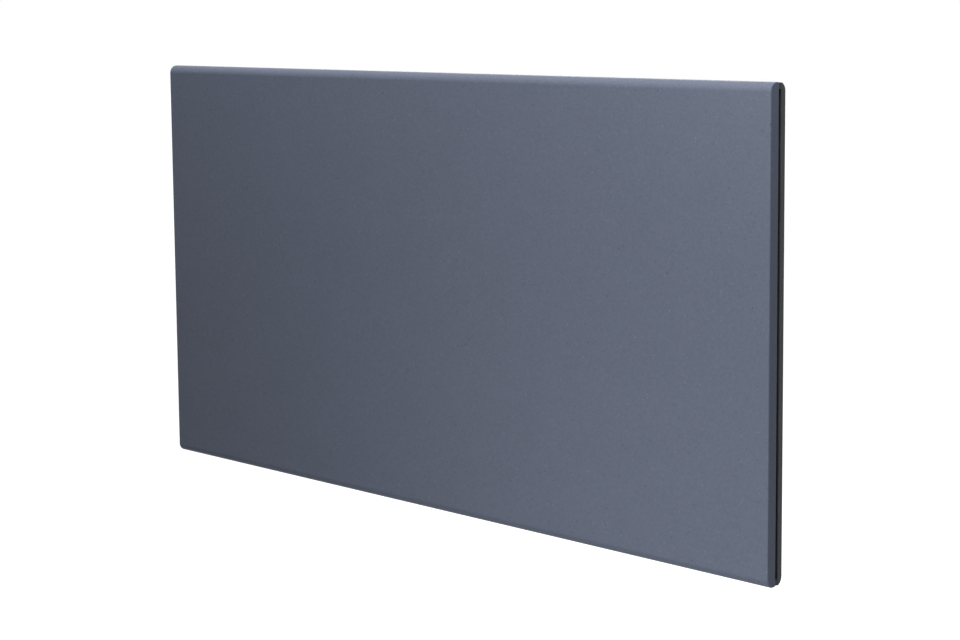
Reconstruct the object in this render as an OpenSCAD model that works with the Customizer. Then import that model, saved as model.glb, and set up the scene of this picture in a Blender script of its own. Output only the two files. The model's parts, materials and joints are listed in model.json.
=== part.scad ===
// Wall-hung panel convector heater with its wall bracket, in millimetres.
// X runs across the heater, Z up, and +Y into the wall. The wall plane is y = 0, and the origin is
// the centre of the wall screws. Each sub-part is drawn as (across, up, out from the wall).

/* [Panel] */
// Width of the heater seen from the front
body_w = 692; // [680:1:800]
// Height of the heater seen from the front
body_h = 370; // [364:1:420]
// Depth from the wall to the front face
total_d = 84; // [82:1:100]
// Radius of the rolled top and bottom edges, in front and behind
edge_r = 7; // [5:0.5:7.5]
// Depth of the front cover from its face to its rear edge
cover_d = 10; // [9.5:0.5:12]
// Shadow gap between the cover and the rear rim
shadow_gap = 3; // [2:0.5:4]
// Depth of the rear casing's rim
rim_d = 4.5; // [3.5:0.5:6]
// Thickness of the steel sheet
sheet = 1; // [0.8:0.1:1.2]
// Width of the hem folded in at the cover's rear edge
hem_w = 18; // [16:1:20]
// Width of the dark spacer strips in the shadow gap
seal_w = 10; // [9:0.5:11]

/* [Casing] */
// Distance of the casing's side walls from the panel's edge
side_inset = 34; // [30:1:36]
// Distance of the casing's top and bottom walls from the panel's edge
end_inset = 24; // [22:1:25]
// Space between the wall and the casing's back
wall_gap = 22; // [20:1:24]
// Width of an air slot
slot_w = 3.5; // [2.5:0.5:3.9]
// Length of an air slot
slot_l = 40; // [25:1:50]
// Metal between two air slots in a row
slot_web = 8; // [6:1:14]
// Distance from one row of air slots to the next
slot_pitch = 8; // [7:0.5:9]
// Rows of air slots
slot_rows = 4; // [2:1:4]
// Width of the control bay beside the warm-air chamber
control_bay_w = 120; // [118:1:130]

/* [Element] */
// Height of the element's axis above the centre of the heater
element_up = -95; // [-100:1:-90]
// Radius of the element's sheath tube
tube_r = 4; // [3.5:0.1:4.5]
// Height of a fin
fin_h = 44; // [36:1:46]
// Depth of a fin
fin_d = 24; // [20:1:26]
// Thickness of a fin
fin_t = 1.2; // [1:0.1:2]
// Distance from one fin to the next
fin_pitch = 8; // [7:0.5:12]
// Radius of the element's bushes where the hangers hold them
bush_r = 7.5; // [7:0.1:8]

/* [Controls] */
// Width of the control fascia
fascia_w = 100; // [98:1:102]
// Depth of the control fascia
fascia_d = 34; // [32:1:35]
// Radius of a button
button_r = 4.2; // [3.8:0.1:4.5]
// Distance from one button to the next
button_pitch = 14; // [13:0.5:14.5]
// Travel of a button
button_travel = 1; // [0.8:0.1:1.2]
// Height of the rocker switch's opening
switch_h = 22; // [21:0.5:24]
// Width of the rocker switch's opening
switch_w = 14; // [13.5:0.5:15]
// Height of the rocker switch above the centre of the heater
switch_up = 60; // [50:1:70]
// Radius of the bore for the supply cord
gland_bore_r = 4.2; // [3.5:0.1:4.8]

/* [Wall bracket] */
// Distance between the wall screws, across
screw_span = 344; // [330:1:356]
// Distance between the wall screws, upwards
screw_rise = 200; // [190:1:206]
// Radius of a wall screw hole
screw_hole_r = 3; // [2.5:0.1:3.5]
// Thickness of the bracket's steel
bracket_t = 1.5; // [1.5:0.1:2]
// Width of an upright's leg against the wall
leg_w = 36; // [32:1:40]
// Height of a hook's tip above its neck
hook_tip = 8; // [6:0.5:9]
// Travel of a latch
latch_travel = 6; // [5:0.5:7]
// Clearance between pieces that move on each other
clear = 0.3; // [0.2:0.05:0.4]

/* [Hidden] */
$fn = 48;

// Colours
panel_blue = "#676e7f";
rim_grey = "#3f4143";
seal_black = "#1b1c1e";
steel = "silver";
ceramic_white = "#e6e2d6";
board_green = "#2f5a3a";
plastic_dark = "#2b2d30";

// Places along the depth, measured out from the wall
cover_back = total_d - cover_d;
rim_front = cover_back - shadow_gap;
rim_back = rim_front - rim_d;
flange_front = rim_back + sheet;
case_floor = wall_gap + sheet;
mid_out = (case_floor + rim_back) / 2;

// Casing
case_w = body_w - 2 * side_inset;
case_h = body_h - 2 * end_inset;
case_corner_r = 6;
in_x = case_w / 2 - sheet;
in_up = case_h / 2 - sheet;
partition_x = in_x - control_bay_w;
bay_x = (partition_x + sheet + in_x) / 2;
slot_margin = 18;

// Spacer strips, clear of the rim's rolled lip
seal_clear = 0.5;
seal_inset = edge_r + seal_clear;
seal_mid = seal_inset + seal_w / 2;

// Small sheet-metal screws that hold pieces to the casing's back
screw_r = 1.6;
screw_head_r = 3.2;
screw_head_h = 2;
screw_grip = 4;
screw_over = 2;
hole_clear = 0.2;

// Partition
foot_w = 14;
foot_edge = 1;
foot_screw_x = foot_w / 2 + foot_edge;
partition_gap = 0.5;
partition_foot_top = 0.5;
partition_screw_shares = [-0.75, 0, 0.45];
grommet_r = 6.5;
grommet_bore_r = 3.5;
grommet_lip = 1.5;
grommet_back = 9;
grommet_out = mid_out - grommet_back;

// Element
element_forward = 1.5;
element_out = mid_out + element_forward;
hanger_inset_left = 31;
hanger_inset_right = 21;
hanger_left_x = -in_x + hanger_inset_left;
hanger_right_x = partition_x - hanger_inset_right;
hanger_rise = 25;
hanger_screw_rise = 18;
hanger_rim = 5;
tube_over = 10;
bush_len = 10;
bush_flange_t = 2;
bush_flange_w = 2.5;
bush_flange_r = bush_r + bush_flange_w;
fin_margin = 22;
sleeve_t = 2.5;
fit_gap = 0.15;
pin_r = 1.5;
pin_len = 8;
tab_w = 6;
tab_t = 1;
tab_rise = 8;

// Heat shield
shield_clear_left = 18;
shield_clear_right = 8;
shield_below = 45;
shield_above = 75;
shield_x0 = hanger_left_x + shield_clear_left;
shield_x1 = hanger_right_x - shield_clear_right;
shield_up0 = element_up - shield_below;
shield_up1 = element_up + shield_above;
shield_t = 0.8;
post_h = 8;
post_r = 3;
post_inset = 20;
shield_out = case_floor + post_h;

// Over-temperature cut-out on the partition
limit_above = 45;
limit_up = element_up + limit_above;
limit_r = 8.5;
limit_d = 10;
limit_ear = 14;
limit_ear_t = 1.5;
limit_ear_half = 4;
limit_screw_edge = 2.5;
limit_screw_up = limit_ear - limit_screw_edge;
limit_screw_head_r = 2.4;
limit_screw_head_h = 1.5;
limit_tab = 4;
grommet_rise = 40;
grommet_up = limit_up + grommet_rise;

// Control housing under the casing's top wall
housing_wall = 2;
housing_h = 34;
housing_floor = in_up - housing_h;
plug_side = housing_wall + 0.5;
fascia_t = 1.5;
fascia_plug = 2;
fascia_under = in_up - fascia_plug;
board_t = 1.6;
board_drop = 11;
board_top = in_up - board_drop;
board_edge = 2;
board_post_r = 2.6;
board_post_edge = 4;
board_screw_r = 1.05;
board_screw_bore_r = 1.1;
board_screw_depth = 6;
board_screw_head_r = 2.2;
board_screw_head_h = 1.6;
relay = [20, 15, 16];
display_w = 34;
display_d = 14;
display_inset = 26;
display_x = bay_x - fascia_w / 2 + display_inset;
display_lip = 2;
display_t = 2;
button_offset = 6;
button_x0 = bay_x + button_offset;
button_stand = 1.5;
button_top = case_h / 2 + fascia_t + button_stand;
button_lip = 1.4;
button_lip_w = 1.3;
button_lip_r = button_r + button_lip_w;
key_side = 6;
key_h = 3.5;
key_plunger_r = 1.6;
lead_hole_r = 6;
lead_hole_edge = 22;
lead_hole_x = fascia_w / 2 - lead_hole_edge;
lead_hole_left = bay_x - lead_hole_x;
lead_hole_right = bay_x + lead_hole_x;

// Rocker switch in the right side wall
flange_t = 2;
flange_side = 1.5;
switch_depth = 20;
switch_out = mid_out;
pocket_wall = 1.3;
pocket_depth = 8;
rocker_play = 0.3;
rocker_side_play = 0.2;
rocker_r = switch_h / 2 - pocket_wall - rocker_play;
rocker_half = switch_w / 2 - pocket_wall - rocker_side_play;
rocker_tilt = 10;
rocker_face = 2.6;
rocker_under = 3;
pin_fit = 0.05;
rocker_pin_r = 1.2;
rocker_pin_len = 1;
rocker_pin_skin = 0.3;
contact_up = 6;
contact_out = 3.5;

// Terminals, gland and sensor at the bottom of the control bay
block_w = 44;
block_h = 18;
block_d = 20;
block_rise = 60;
block_up = block_rise - in_up;
block_screw_edge = 3.5;
block_screw_floor = 6;
terminal_pitch = 10.4;
terminal_r = 1.6;
terminal_bore_r = 1.7;
terminal_depth = 6;
terminal_head_r = 2.8;
terminal_head_h = 1.5;
gland_offset = 10;
gland_x = bay_x + gland_offset;
gland_body_r = 8;
gland_head_r = 11;
gland_head_h = 10;
gland_body_h = 12;
gland_nut_h = 4;
gland_nut_r = 12;
sensor_offset = 36;
sensor_x = bay_x - sensor_offset;
sensor_r = 2.5;
sensor_above = 8;
sensor_below = 5;
sensor_neck_r = 4;
sensor_lip_r = 5.5;
sensor_lip = 2;
earth_rise = 25;
earth_up = earth_rise - in_up;
earth_washer_r = 5;
earth_washer_t = 1;

// Internal leads
lead_r = 1.1;
sensor_lead_r = 0.8;
lead_bend = 2.5;
lead_sides = 8;
lead_straight = 6;
lead_apart = 1.6;
lead_turn = 14;
lead_slack = 20;
lead_back_gap = 5;
lead_at_back = case_floor + lead_back_gap;

// Bracket
leg_x = screw_span / 2 - leg_w / 2;
leg_over = 29;
leg_end = screw_rise / 2 + leg_over;
stand_off = wall_gap - clear;
hook_over = 12;
hook_top = screw_rise / 2 + hook_over;
hook_neck = 6;
hook_lift = hook_tip + hook_neck;
hook_reach = 4;
hook_low = hook_top - hook_tip - hook_neck;
hook_x = leg_x + bracket_t / 2;
slot_side = 0.75;
crossbar_w = 22;
crossbar_up = 62;
crossbar_over = 6;
window_half = crossbar_w / 2 + clear;
rivet_r = 2;
rivet_head_r = 3.6;
rivet_head_h = 1.4;

// Latches
latch_t = 2;
latch_x0 = leg_x + bracket_t + clear;
latch_mid_x = latch_x0 + latch_t / 2;
latch_neck = 5;
latch_tip = latch_travel - 1;
latch_under = 20;
latch_low = -screw_rise / 2 - latch_under;
latch_back = 6;
latch_front = 18;
latch_pull = 15;
latch_bottom = -case_h / 2 - latch_pull;
latch_pin_rise = 22;
latch_pin_drop = 2;
latch_pin_ups = [latch_low + latch_pin_rise, latch_low - latch_pin_drop];
latch_over = 8;
latch_pin_out = 12;
latch_pin_r = 2;
latch_pin_head_r = 3.6;
latch_tab = 14;
latch_room = 0.5;

// The hangers' feet end above the latches' tips
hanger_foot_low = latch_low + latch_neck + latch_tip + foot_edge;
hanger_screw_ups = [hanger_foot_low + screw_head_r + foot_edge, element_up + hanger_screw_rise];

// Rubber feet
bumper_inset_x = 82;
bumper_inset_up = 21;
bumper_x = case_w / 2 - bumper_inset_x;
bumper_up = bumper_inset_up - case_h / 2;
bumper_r = 9;

// Turns a drawing made as (across, up, out) into the part's frame
module on_wall() rotate([90, 0, 0]) children();

// Puts a drawing on the left (-1) or on the right (+1)
module on_side(side) mirror([side < 0 ? 1 : 0, 0, 0]) children();

// Block between two corners
module block(x, up, out)
    translate([x[0], up[0], out[0]]) cube([x[1] - x[0], up[1] - up[0], out[1] - out[0]]);

// Round rod along the depth
module rod_out(x, up, r, out) translate([x, up, out[0]]) cylinder(r = r, h = out[1] - out[0]);

// Round rod along the height
module rod_up(x, out, r, up)
    translate([x, up[0], out]) rotate([-90, 0, 0]) cylinder(r = r, h = up[1] - up[0]);

// Round rod across the heater
module rod_across(up, out, r, x)
    translate([x[0], up, out]) rotate([0, 90, 0]) cylinder(r = r, h = x[1] - x[0]);

module rounded_rect(w, h, r) {
    square([w, h - 2 * r], center = true);
    square([w - 2 * r, h], center = true);
    for (x = [-1, 1], y = [-1, 1]) translate([x * (w / 2 - r), y * (h / 2 - r)]) circle(r);
}

module rounded_plate(w, h, r, out)
    translate([0, 0, out[0]]) linear_extrude(out[1] - out[0]) rounded_rect(w, h, r);

// Flat-ended slab of the panel's end profile, set in by a distance and kept between two depths.
// The profile's top and bottom are rolled over in front and behind.
module rolled_slab(inset, out) intersection() {
    translate([0, 0, (rim_back + total_d) / 2]) rotate([0, 90, 0])
        linear_extrude(body_w - 2 * inset, center = true)
            rounded_rect(total_d - rim_back - 2 * inset, body_h - 2 * inset, edge_r - inset);
    block([-body_w, body_w], [-body_h, body_h], out);
}

// Pan-head screw whose shank points at the wall
module back_screw(x, up, out, grip = screw_grip) {
    rod_out(x, up, screw_head_r, [out, out + screw_head_h]);
    rod_out(x, up, screw_r, [out - grip, out]);
}

// Places of the screws that hold the cover: along the long edges, then along the short ones
cover_screw_across = [-0.42, -0.16, 0.16, 0.42];
cover_screw_up = 0.25;
function cover_screw_places() = concat(
    [for (side = [-1, 1], share = cover_screw_across) [share * body_w, side * (body_h / 2 - seal_mid)]],
    [for (side = [-1, 1], end = [-1, 1]) [side * (body_w / 2 - seal_mid), end * cover_screw_up * body_h]]
);
module cover_screw_holes(r, out) for (p = cover_screw_places()) rod_out(p[0], p[1], r, out);

// Cover and seal
module front_cover() color(panel_blue) on_wall() difference() {
    rolled_slab(0, [cover_back, total_d + 1]);
    rolled_slab(sheet, [cover_back + sheet, total_d]);
    rounded_plate(body_w - 2 * hem_w, body_h - 2 * hem_w, case_corner_r, [cover_back - 1, cover_back + 2 * sheet]);
    cover_screw_holes(screw_r + hole_clear / 2, [cover_back - 1, cover_back + 2 * sheet]);
}

module gap_seal(x, up) color(seal_black) on_wall() difference() {
    block(x, up, [flange_front, cover_back]);
    cover_screw_holes(screw_r + hole_clear, [flange_front - 1, cover_back + 1]);
}
seal_x = body_w / 2 - seal_inset;
seal_up = body_h / 2 - seal_inset;
module gap_seal_top() gap_seal([-seal_x, seal_x], [seal_up - seal_w, seal_up]);
module gap_seal_bottom() gap_seal([-seal_x, seal_x], [-seal_up, seal_w - seal_up]);
module gap_seal_left() gap_seal([-seal_x, seal_w - seal_x], [seal_w - seal_up, seal_up - seal_w]);
module gap_seal_right() gap_seal([seal_x - seal_w, seal_x], [seal_w - seal_up, seal_up - seal_w]);

module cover_screws() color(steel) on_wall() for (p = cover_screw_places()) {
    rod_out(p[0], p[1], screw_head_r, [rim_back - screw_head_h, rim_back]);
    rod_out(p[0], p[1], screw_r, [rim_back, cover_back + sheet + screw_over]);
}

// Air slot seen from above, centred, in (across, out)
module slot_shape() {
    square([slot_l - slot_w, slot_w], center = true);
    for (end = [-1, 1]) translate([end * (slot_l - slot_w) / 2, 0]) circle(slot_w / 2);
}

// Rows of air slots between two places across, cut through a wall at the given height
module air_slots(x, up) {
    step = slot_l + slot_web;
    count = floor((x[1] - x[0] + slot_web) / step);
    first = (x[0] + x[1] - (count - 1) * step) / 2;
    for (i = [0 : count - 1], row = [0 : slot_rows - 1])
        translate([first + i * step, up[1], mid_out + (row - (slot_rows - 1) / 2) * slot_pitch])
            rotate([90, 0, 0]) linear_extrude(up[1] - up[0]) slot_shape();
}

// Screws into the casing's back: hangers, shield posts, partition, terminal block and earth
function hanger_screw_places() = [
    for (x = [hanger_left_x - foot_screw_x, hanger_right_x + foot_screw_x], up = hanger_screw_ups) [x, up]
];
function shield_post_places() = [
    for (x = [shield_x0 + post_inset, shield_x1 - post_inset],
         up = [shield_up0 + post_inset, shield_up1 - post_inset]) [x, up]
];
function partition_screw_places() = [
    for (share = partition_screw_shares) [partition_x + sheet + foot_screw_x, share * in_up]
];
function block_screw_places() = [
    for (end = [-1, 1]) [bay_x + end * (block_w / 2 - block_screw_edge), block_up]
];
earth_place = [sensor_x, earth_up];

module rear_casing() color(rim_grey) on_wall() difference() {
    union() {
        rolled_slab(0, [rim_back - 1, rim_front]);
        rounded_plate(case_w, case_h, case_corner_r, [wall_gap, rim_back]);
    }
    rolled_slab(sheet, [rim_back, rim_front + 1]);
    rounded_plate(2 * in_x, 2 * in_up, case_corner_r - sheet, [case_floor, rim_front + 1]);
    air_slots([slot_margin - in_x, partition_x - slot_margin], [in_up - 1, in_up + 2 * sheet]);
    air_slots([slot_margin - in_x, partition_x - slot_margin], [-in_up - 2 * sheet, 1 - in_up]);
    block([bay_x - fascia_w / 2 + plug_side - clear, bay_x + fascia_w / 2 - plug_side + clear],
        [in_up - 1, in_up + 2 * sheet],
        [mid_out - fascia_d / 2 + plug_side - clear, mid_out + fascia_d / 2 - plug_side + clear]);
    block([in_x - 1, in_x + 2 * sheet],
        [switch_up - switch_h / 2 - clear, switch_up + switch_h / 2 + clear],
        [switch_out - switch_w / 2 - clear, switch_out + switch_w / 2 + clear]);
    rod_up(gland_x, mid_out, gland_body_r + hole_clear, [-in_up - 2 * sheet, 1 - in_up]);
    rod_up(sensor_x, mid_out, sensor_neck_r + hole_clear, [-in_up - 2 * sheet, 1 - in_up]);
    for (side = [-1, 1]) on_side(side) {
        block([hook_x - bracket_t / 2 - slot_side, hook_x + bracket_t / 2 + slot_side],
            [hook_low - hook_lift - latch_room, hook_low + hook_neck + clear],
            [wall_gap - 1, case_floor + 1]);
        block([latch_mid_x - latch_t / 2 - slot_side, latch_mid_x + latch_t / 2 + slot_side],
            [latch_low - latch_travel - hook_lift - latch_room, latch_low + latch_neck + clear],
            [wall_gap - 1, case_floor + 1]);
    }
    cover_screw_holes(screw_r + hole_clear, [rim_back - 1, flange_front + 1]);
    for (p = concat(hanger_screw_places(), shield_post_places(), partition_screw_places(),
            block_screw_places(), [earth_place]))
        rod_out(p[0], p[1], screw_r + hole_clear, [wall_gap - 1, case_floor + 1]);
}

// Partition between the warm-air chamber and the control bay
partition_out = rim_back - partition_gap;
module partition_plate() color(steel) on_wall() difference() {
    union() {
        block([partition_x, partition_x + sheet], [partition_gap - in_up, in_up - partition_gap],
            [case_floor, partition_out]);
        block([partition_x, partition_x + sheet + foot_w],
            [partition_gap - in_up, partition_foot_top * in_up], [case_floor, case_floor + sheet]);
    }
    rod_across(grommet_up, grommet_out, grommet_r - grommet_lip + hole_clear,
        [partition_x - 1, partition_x + 2 * sheet]);
    for (p = partition_screw_places())
        rod_out(p[0], p[1], screw_r + hole_clear, [wall_gap, case_floor + 2 * sheet]);
    for (end = [-1, 1])
        rod_across(limit_up + end * limit_screw_up, element_out, screw_r + hole_clear,
            [partition_x - 1, partition_x + 2 * sheet]);
}

module partition_screws() color(steel) on_wall()
    for (p = partition_screw_places()) back_screw(p[0], p[1], case_floor + sheet);

module partition_grommet() color(seal_black) on_wall() difference() {
    union() {
        rod_across(grommet_up, grommet_out, grommet_r, [partition_x - grommet_lip, partition_x]);
        rod_across(grommet_up, grommet_out, grommet_r,
            [partition_x + sheet, partition_x + sheet + grommet_lip]);
        rod_across(grommet_up, grommet_out, grommet_r - grommet_lip, [partition_x, partition_x + sheet]);
    }
    rod_across(grommet_up, grommet_out, grommet_bore_r, [partition_x - grommet_r, partition_x + grommet_r]);
}

// Bright sheet behind the element, on posts
module heat_shield() color(steel) on_wall() difference() {
    block([shield_x0, shield_x1], [shield_up0, shield_up1], [shield_out, shield_out + shield_t]);
    for (p = shield_post_places())
        rod_out(p[0], p[1], screw_r + hole_clear, [shield_out - 1, shield_out + 2]);
}

module shield_posts() color(steel) on_wall() for (p = shield_post_places()) difference() {
    rod_out(p[0], p[1], post_r, [case_floor, shield_out]);
    rod_out(p[0], p[1], screw_r + hole_clear, [case_floor - 1, shield_out + 1]);
}

module shield_screws() color(steel) on_wall()
    for (p = shield_post_places()) back_screw(p[0], p[1], shield_out + shield_t, post_h + shield_t + sheet);

module wall_bumpers() color(seal_black) on_wall()
    for (side = [-1, 1]) rod_out(side * bumper_x, bumper_up, bumper_r, [clear, wall_gap]);

// Heating element: sheath tube in an aluminium sleeve with fins
tube_x0 = hanger_left_x - tube_over;
tube_x1 = hanger_right_x + tube_over;
sleeve_x0 = hanger_left_x + fin_margin;
sleeve_x1 = hanger_right_x - fin_margin;

module element_tube() color(steel) on_wall() rod_across(element_up, element_out, tube_r, [tube_x0, tube_x1]);

module element_fins() color(steel) on_wall() difference() {
    count = floor((sleeve_x1 - sleeve_x0 - fin_t) / fin_pitch);
    union() {
        rod_across(element_up, element_out, tube_r + sleeve_t, [sleeve_x0, sleeve_x1]);
        for (i = [0 : count])
            block([sleeve_x0 + i * fin_pitch, sleeve_x0 + i * fin_pitch + fin_t],
                [element_up - fin_h / 2, element_up + fin_h / 2],
                [element_out - fin_d / 2, element_out + fin_d / 2]);
    }
    rod_across(element_up, element_out, tube_r + fit_gap, [sleeve_x0 - 1, sleeve_x1 + 1]);
}

// Cold pins with a nut and a connection tab each
module element_pin(side, tube_end) translate([tube_end, 0, 0]) on_side(side) {
    rod_across(element_up, element_out, pin_r, [0, pin_len]);
    block([pin_len / 2, pin_len / 2 + tab_t], [element_up - tab_w / 2, element_up + tab_rise],
        [element_out - tab_w / 2, element_out + tab_w / 2]);
}
module element_pins() color(steel) on_wall() {
    element_pin(-1, tube_x0);
    element_pin(1, tube_x1);
}

// The bush's flange lies against the hanger on the element's side
module element_bush(side, x) color(ceramic_white) on_wall() translate([x, 0, 0]) on_side(side) difference() {
    union() {
        rod_across(element_up, element_out, bush_r, [0, bush_len - bush_flange_t]);
        rod_across(element_up, element_out, bush_flange_r, [-bush_flange_t, 0]);
    }
    rod_across(element_up, element_out, tube_r + fit_gap, [-bush_len, 2 * bush_len]);
}
module element_bush_left() element_bush(-1, hanger_left_x);
module element_bush_right() element_bush(1, hanger_right_x);

module element_hanger(side, x) color(steel) on_wall() difference() {
    translate([x, 0, 0]) on_side(side) {
        block([0, sheet], [element_up - hanger_rise, element_up + hanger_rise],
            [case_floor, element_out + bush_r + hanger_rim]);
        block([0, foot_w], [hanger_foot_low, element_up + hanger_rise], [case_floor, case_floor + sheet]);
    }
    rod_across(element_up, element_out, bush_r + hole_clear, [x - 2 * sheet, x + 2 * sheet]);
    for (p = hanger_screw_places())
        rod_out(p[0], p[1], screw_r + hole_clear, [wall_gap, case_floor + 2 * sheet]);
}
module element_hanger_left() element_hanger(-1, hanger_left_x);
module element_hanger_right() element_hanger(1, hanger_right_x);

module hanger_screws() color(steel) on_wall()
    for (p = hanger_screw_places()) back_screw(p[0], p[1], case_floor + sheet);

module limit_thermostat() color(plastic_dark) on_wall() difference() {
    union() {
        rod_across(limit_up, element_out, limit_r, [partition_x - limit_d, partition_x]);
        block([partition_x - limit_ear_t, partition_x], [limit_up - limit_ear, limit_up + limit_ear],
            [element_out - limit_ear_half, element_out + limit_ear_half]);
    }
    for (end = [-1, 1])
        rod_across(limit_up + end * limit_screw_up, element_out, screw_r + hole_clear,
            [partition_x - limit_ear_t - 1, partition_x + 1]);
}

module thermostat_screws() color(steel) on_wall() for (end = [-1, 1]) {
    up = limit_up + end * limit_screw_up;
    ear_face = partition_x - limit_ear_t;
    rod_across(up, element_out, limit_screw_head_r, [ear_face - limit_screw_head_h, ear_face]);
    rod_across(up, element_out, screw_r, [ear_face, partition_x + sheet + screw_over]);
}

// Control housing: an open-topped box against the casing's top wall, with posts for the board
housing_x = [bay_x - fascia_w / 2, bay_x + fascia_w / 2];
housing_out = [mid_out - fascia_d / 2, mid_out + fascia_d / 2];
board_x = [housing_x[0] + housing_wall + board_edge, housing_x[1] - housing_wall - board_edge];
board_out = [housing_out[0] + housing_wall + board_edge / 2, housing_out[1] - housing_wall - board_edge / 2];
function board_post_places() = [
    for (x = [board_x[0] + board_post_edge, board_x[1] - board_post_edge],
         out = [board_out[0] + board_post_edge, board_out[1] - board_post_edge]) [x, out]
];

module control_housing() color(plastic_dark) on_wall() difference() {
    union() {
        difference() {
            block(housing_x, [housing_floor, in_up], housing_out);
            block([housing_x[0] + housing_wall, housing_x[1] - housing_wall],
                [housing_floor + housing_wall, in_up + 1],
                [housing_out[0] + housing_wall, housing_out[1] - housing_wall]);
        }
        for (p = board_post_places())
            rod_up(p[0], p[1], board_post_r, [housing_floor + 1, board_top - board_t]);
    }
    for (x = [lead_hole_left, lead_hole_right])
        rod_up(x, mid_out, lead_hole_r, [housing_floor - 1, housing_floor + housing_wall + 1]);
    for (p = board_post_places())
        rod_up(p[0], p[1], board_screw_bore_r, [board_top - board_t - board_screw_depth - 1, board_top]);
}

function button_x(i) = button_x0 + i * button_pitch;
module control_fascia() color(plastic_dark) on_wall() difference() {
    union() {
        block([bay_x - fascia_w / 2, bay_x + fascia_w / 2], [case_h / 2, case_h / 2 + fascia_t],
            [mid_out - fascia_d / 2, mid_out + fascia_d / 2]);
        block([bay_x - fascia_w / 2 + plug_side, bay_x + fascia_w / 2 - plug_side],
            [fascia_under, case_h / 2],
            [mid_out - fascia_d / 2 + plug_side, mid_out + fascia_d / 2 - plug_side]);
    }
    for (i = [0 : 2])
        rod_up(button_x(i), mid_out, button_r + clear, [fascia_under - 1, case_h / 2 + 2 * fascia_t]);
    block([display_x - display_w / 2 - clear / 2, display_x + display_w / 2 + clear / 2],
        [case_h / 2 + fascia_t - display_t, case_h / 2 + 2 * fascia_t],
        [mid_out - display_d / 2 - clear / 2, mid_out + display_d / 2 + clear / 2]);
    block([display_x - display_w / 2 + display_lip, display_x + display_w / 2 - display_lip],
        [fascia_under - 1, case_h / 2 + fascia_t],
        [mid_out - display_d / 2 + display_lip, mid_out + display_d / 2 - display_lip]);
}

module display_window() color("#101418") on_wall()
    block([display_x - display_w / 2, display_x + display_w / 2],
        [case_h / 2 + fascia_t - display_t, case_h / 2 + fascia_t],
        [mid_out - display_d / 2, mid_out + display_d / 2]);

module display_module() color("white") on_wall()
    block([display_x - display_w / 2 + display_lip + clear, display_x + display_w / 2 - display_lip - clear],
        [board_top, case_h / 2 + fascia_t - display_t - clear],
        [mid_out - display_d / 2 + display_lip + clear, mid_out + display_d / 2 - display_lip - clear]);

module control_board() color(board_green) on_wall() difference() {
    block(board_x, [board_top - board_t, board_top], board_out);
    for (p = board_post_places())
        rod_up(p[0], p[1], board_screw_r + hole_clear, [board_top - board_t - 1, board_top + 1]);
}

module power_relay() color("#1f4fa0") on_wall()
    block([bay_x - relay[0] / 2, bay_x + relay[0] / 2], [board_top - board_t - relay[1], board_top - board_t],
        [mid_out - relay[2] / 2, mid_out + relay[2] / 2]);

module board_screws() color(steel) on_wall() for (p = board_post_places()) {
    rod_up(p[0], p[1], board_screw_head_r, [board_top, board_top + board_screw_head_h]);
    rod_up(p[0], p[1], board_screw_r, [board_top - board_t - board_screw_depth, board_top]);
}

// Push buttons held under the fascia by a lip, each over a key switch on the board
button_low = fascia_under - clear - button_lip;
module key_switches() color(plastic_dark) on_wall() for (i = [0 : 2]) {
    block([button_x(i) - key_side / 2, button_x(i) + key_side / 2], [board_top, board_top + key_h],
        [mid_out - key_side / 2, mid_out + key_side / 2]);
    rod_up(button_x(i), mid_out, key_plunger_r, [board_top + key_h, button_low - button_travel - clear]);
}

module button(i) color("#d8dadd") on_wall() {
    rod_up(button_x(i), mid_out, button_r, [button_low, button_top]);
    rod_up(button_x(i), mid_out, button_lip_r, [button_low, button_low + button_lip]);
}
module button_minus() button(0);
module button_mode() button(1);
module button_plus() button(2);

// Mains rocker switch: its body is clipped in the side wall, and the rocker turns on stub pins
pocket_half = switch_h / 2 - pocket_wall;
module switch_body() color(plastic_dark) on_wall() difference() {
    union() {
        block([case_w / 2 - switch_depth, case_w / 2], [switch_up - switch_h / 2, switch_up + switch_h / 2],
            [switch_out - switch_w / 2, switch_out + switch_w / 2]);
        block([case_w / 2, case_w / 2 + flange_t],
            [switch_up - switch_h / 2 - flange_side, switch_up + switch_h / 2 + flange_side],
            [switch_out - switch_w / 2 - flange_side, switch_out + switch_w / 2 + flange_side]);
    }
    block([case_w / 2 - pocket_depth, case_w / 2 + 2 * flange_t],
        [switch_up - pocket_half, switch_up + pocket_half],
        [switch_out - switch_w / 2 + pocket_wall, switch_out + switch_w / 2 - pocket_wall]);
    rod_out(case_w / 2, switch_up, rocker_pin_r + pin_fit,
        [switch_out - switch_w / 2 + rocker_pin_skin, switch_out + switch_w / 2 - rocker_pin_skin]);
}

// The rocker's face is a shallow V, and it rests tilted with its top end out
module switch_rocker() color("#b4161b") on_wall()
translate([case_w / 2, switch_up, switch_out]) rotate([0, 0, -rocker_tilt]) {
    face_end = rocker_face + rocker_r * tan(rocker_tilt);
    translate([0, 0, -rocker_half]) linear_extrude(2 * rocker_half) intersection() {
        circle(rocker_r);
        polygon([[-rocker_under, -rocker_r], [face_end, -rocker_r], [rocker_face, 0],
            [face_end, rocker_r], [-rocker_under, rocker_r]]);
    }
    pin_end = rocker_half + rocker_pin_len;
    translate([0, 0, -pin_end]) cylinder(r = rocker_pin_r, h = 2 * pin_end);
}

// Mains terminals, earth and the cord's inlet
block_front = case_floor + block_d;
module terminal_block() color(ceramic_white) on_wall() difference() {
    block([bay_x - block_w / 2, bay_x + block_w / 2], [block_up - block_h / 2, block_up + block_h / 2],
        [case_floor, block_front]);
    for (p = block_screw_places()) {
        rod_out(p[0], p[1], screw_r + hole_clear, [wall_gap, block_front + 1]);
        rod_out(p[0], p[1], screw_head_r + hole_clear, [case_floor + block_screw_floor, block_front + 1]);
    }
    for (i = [-1 : 1])
        rod_out(bay_x + i * terminal_pitch, block_up, terminal_bore_r,
            [block_front - terminal_depth, block_front + 1]);
}

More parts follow.
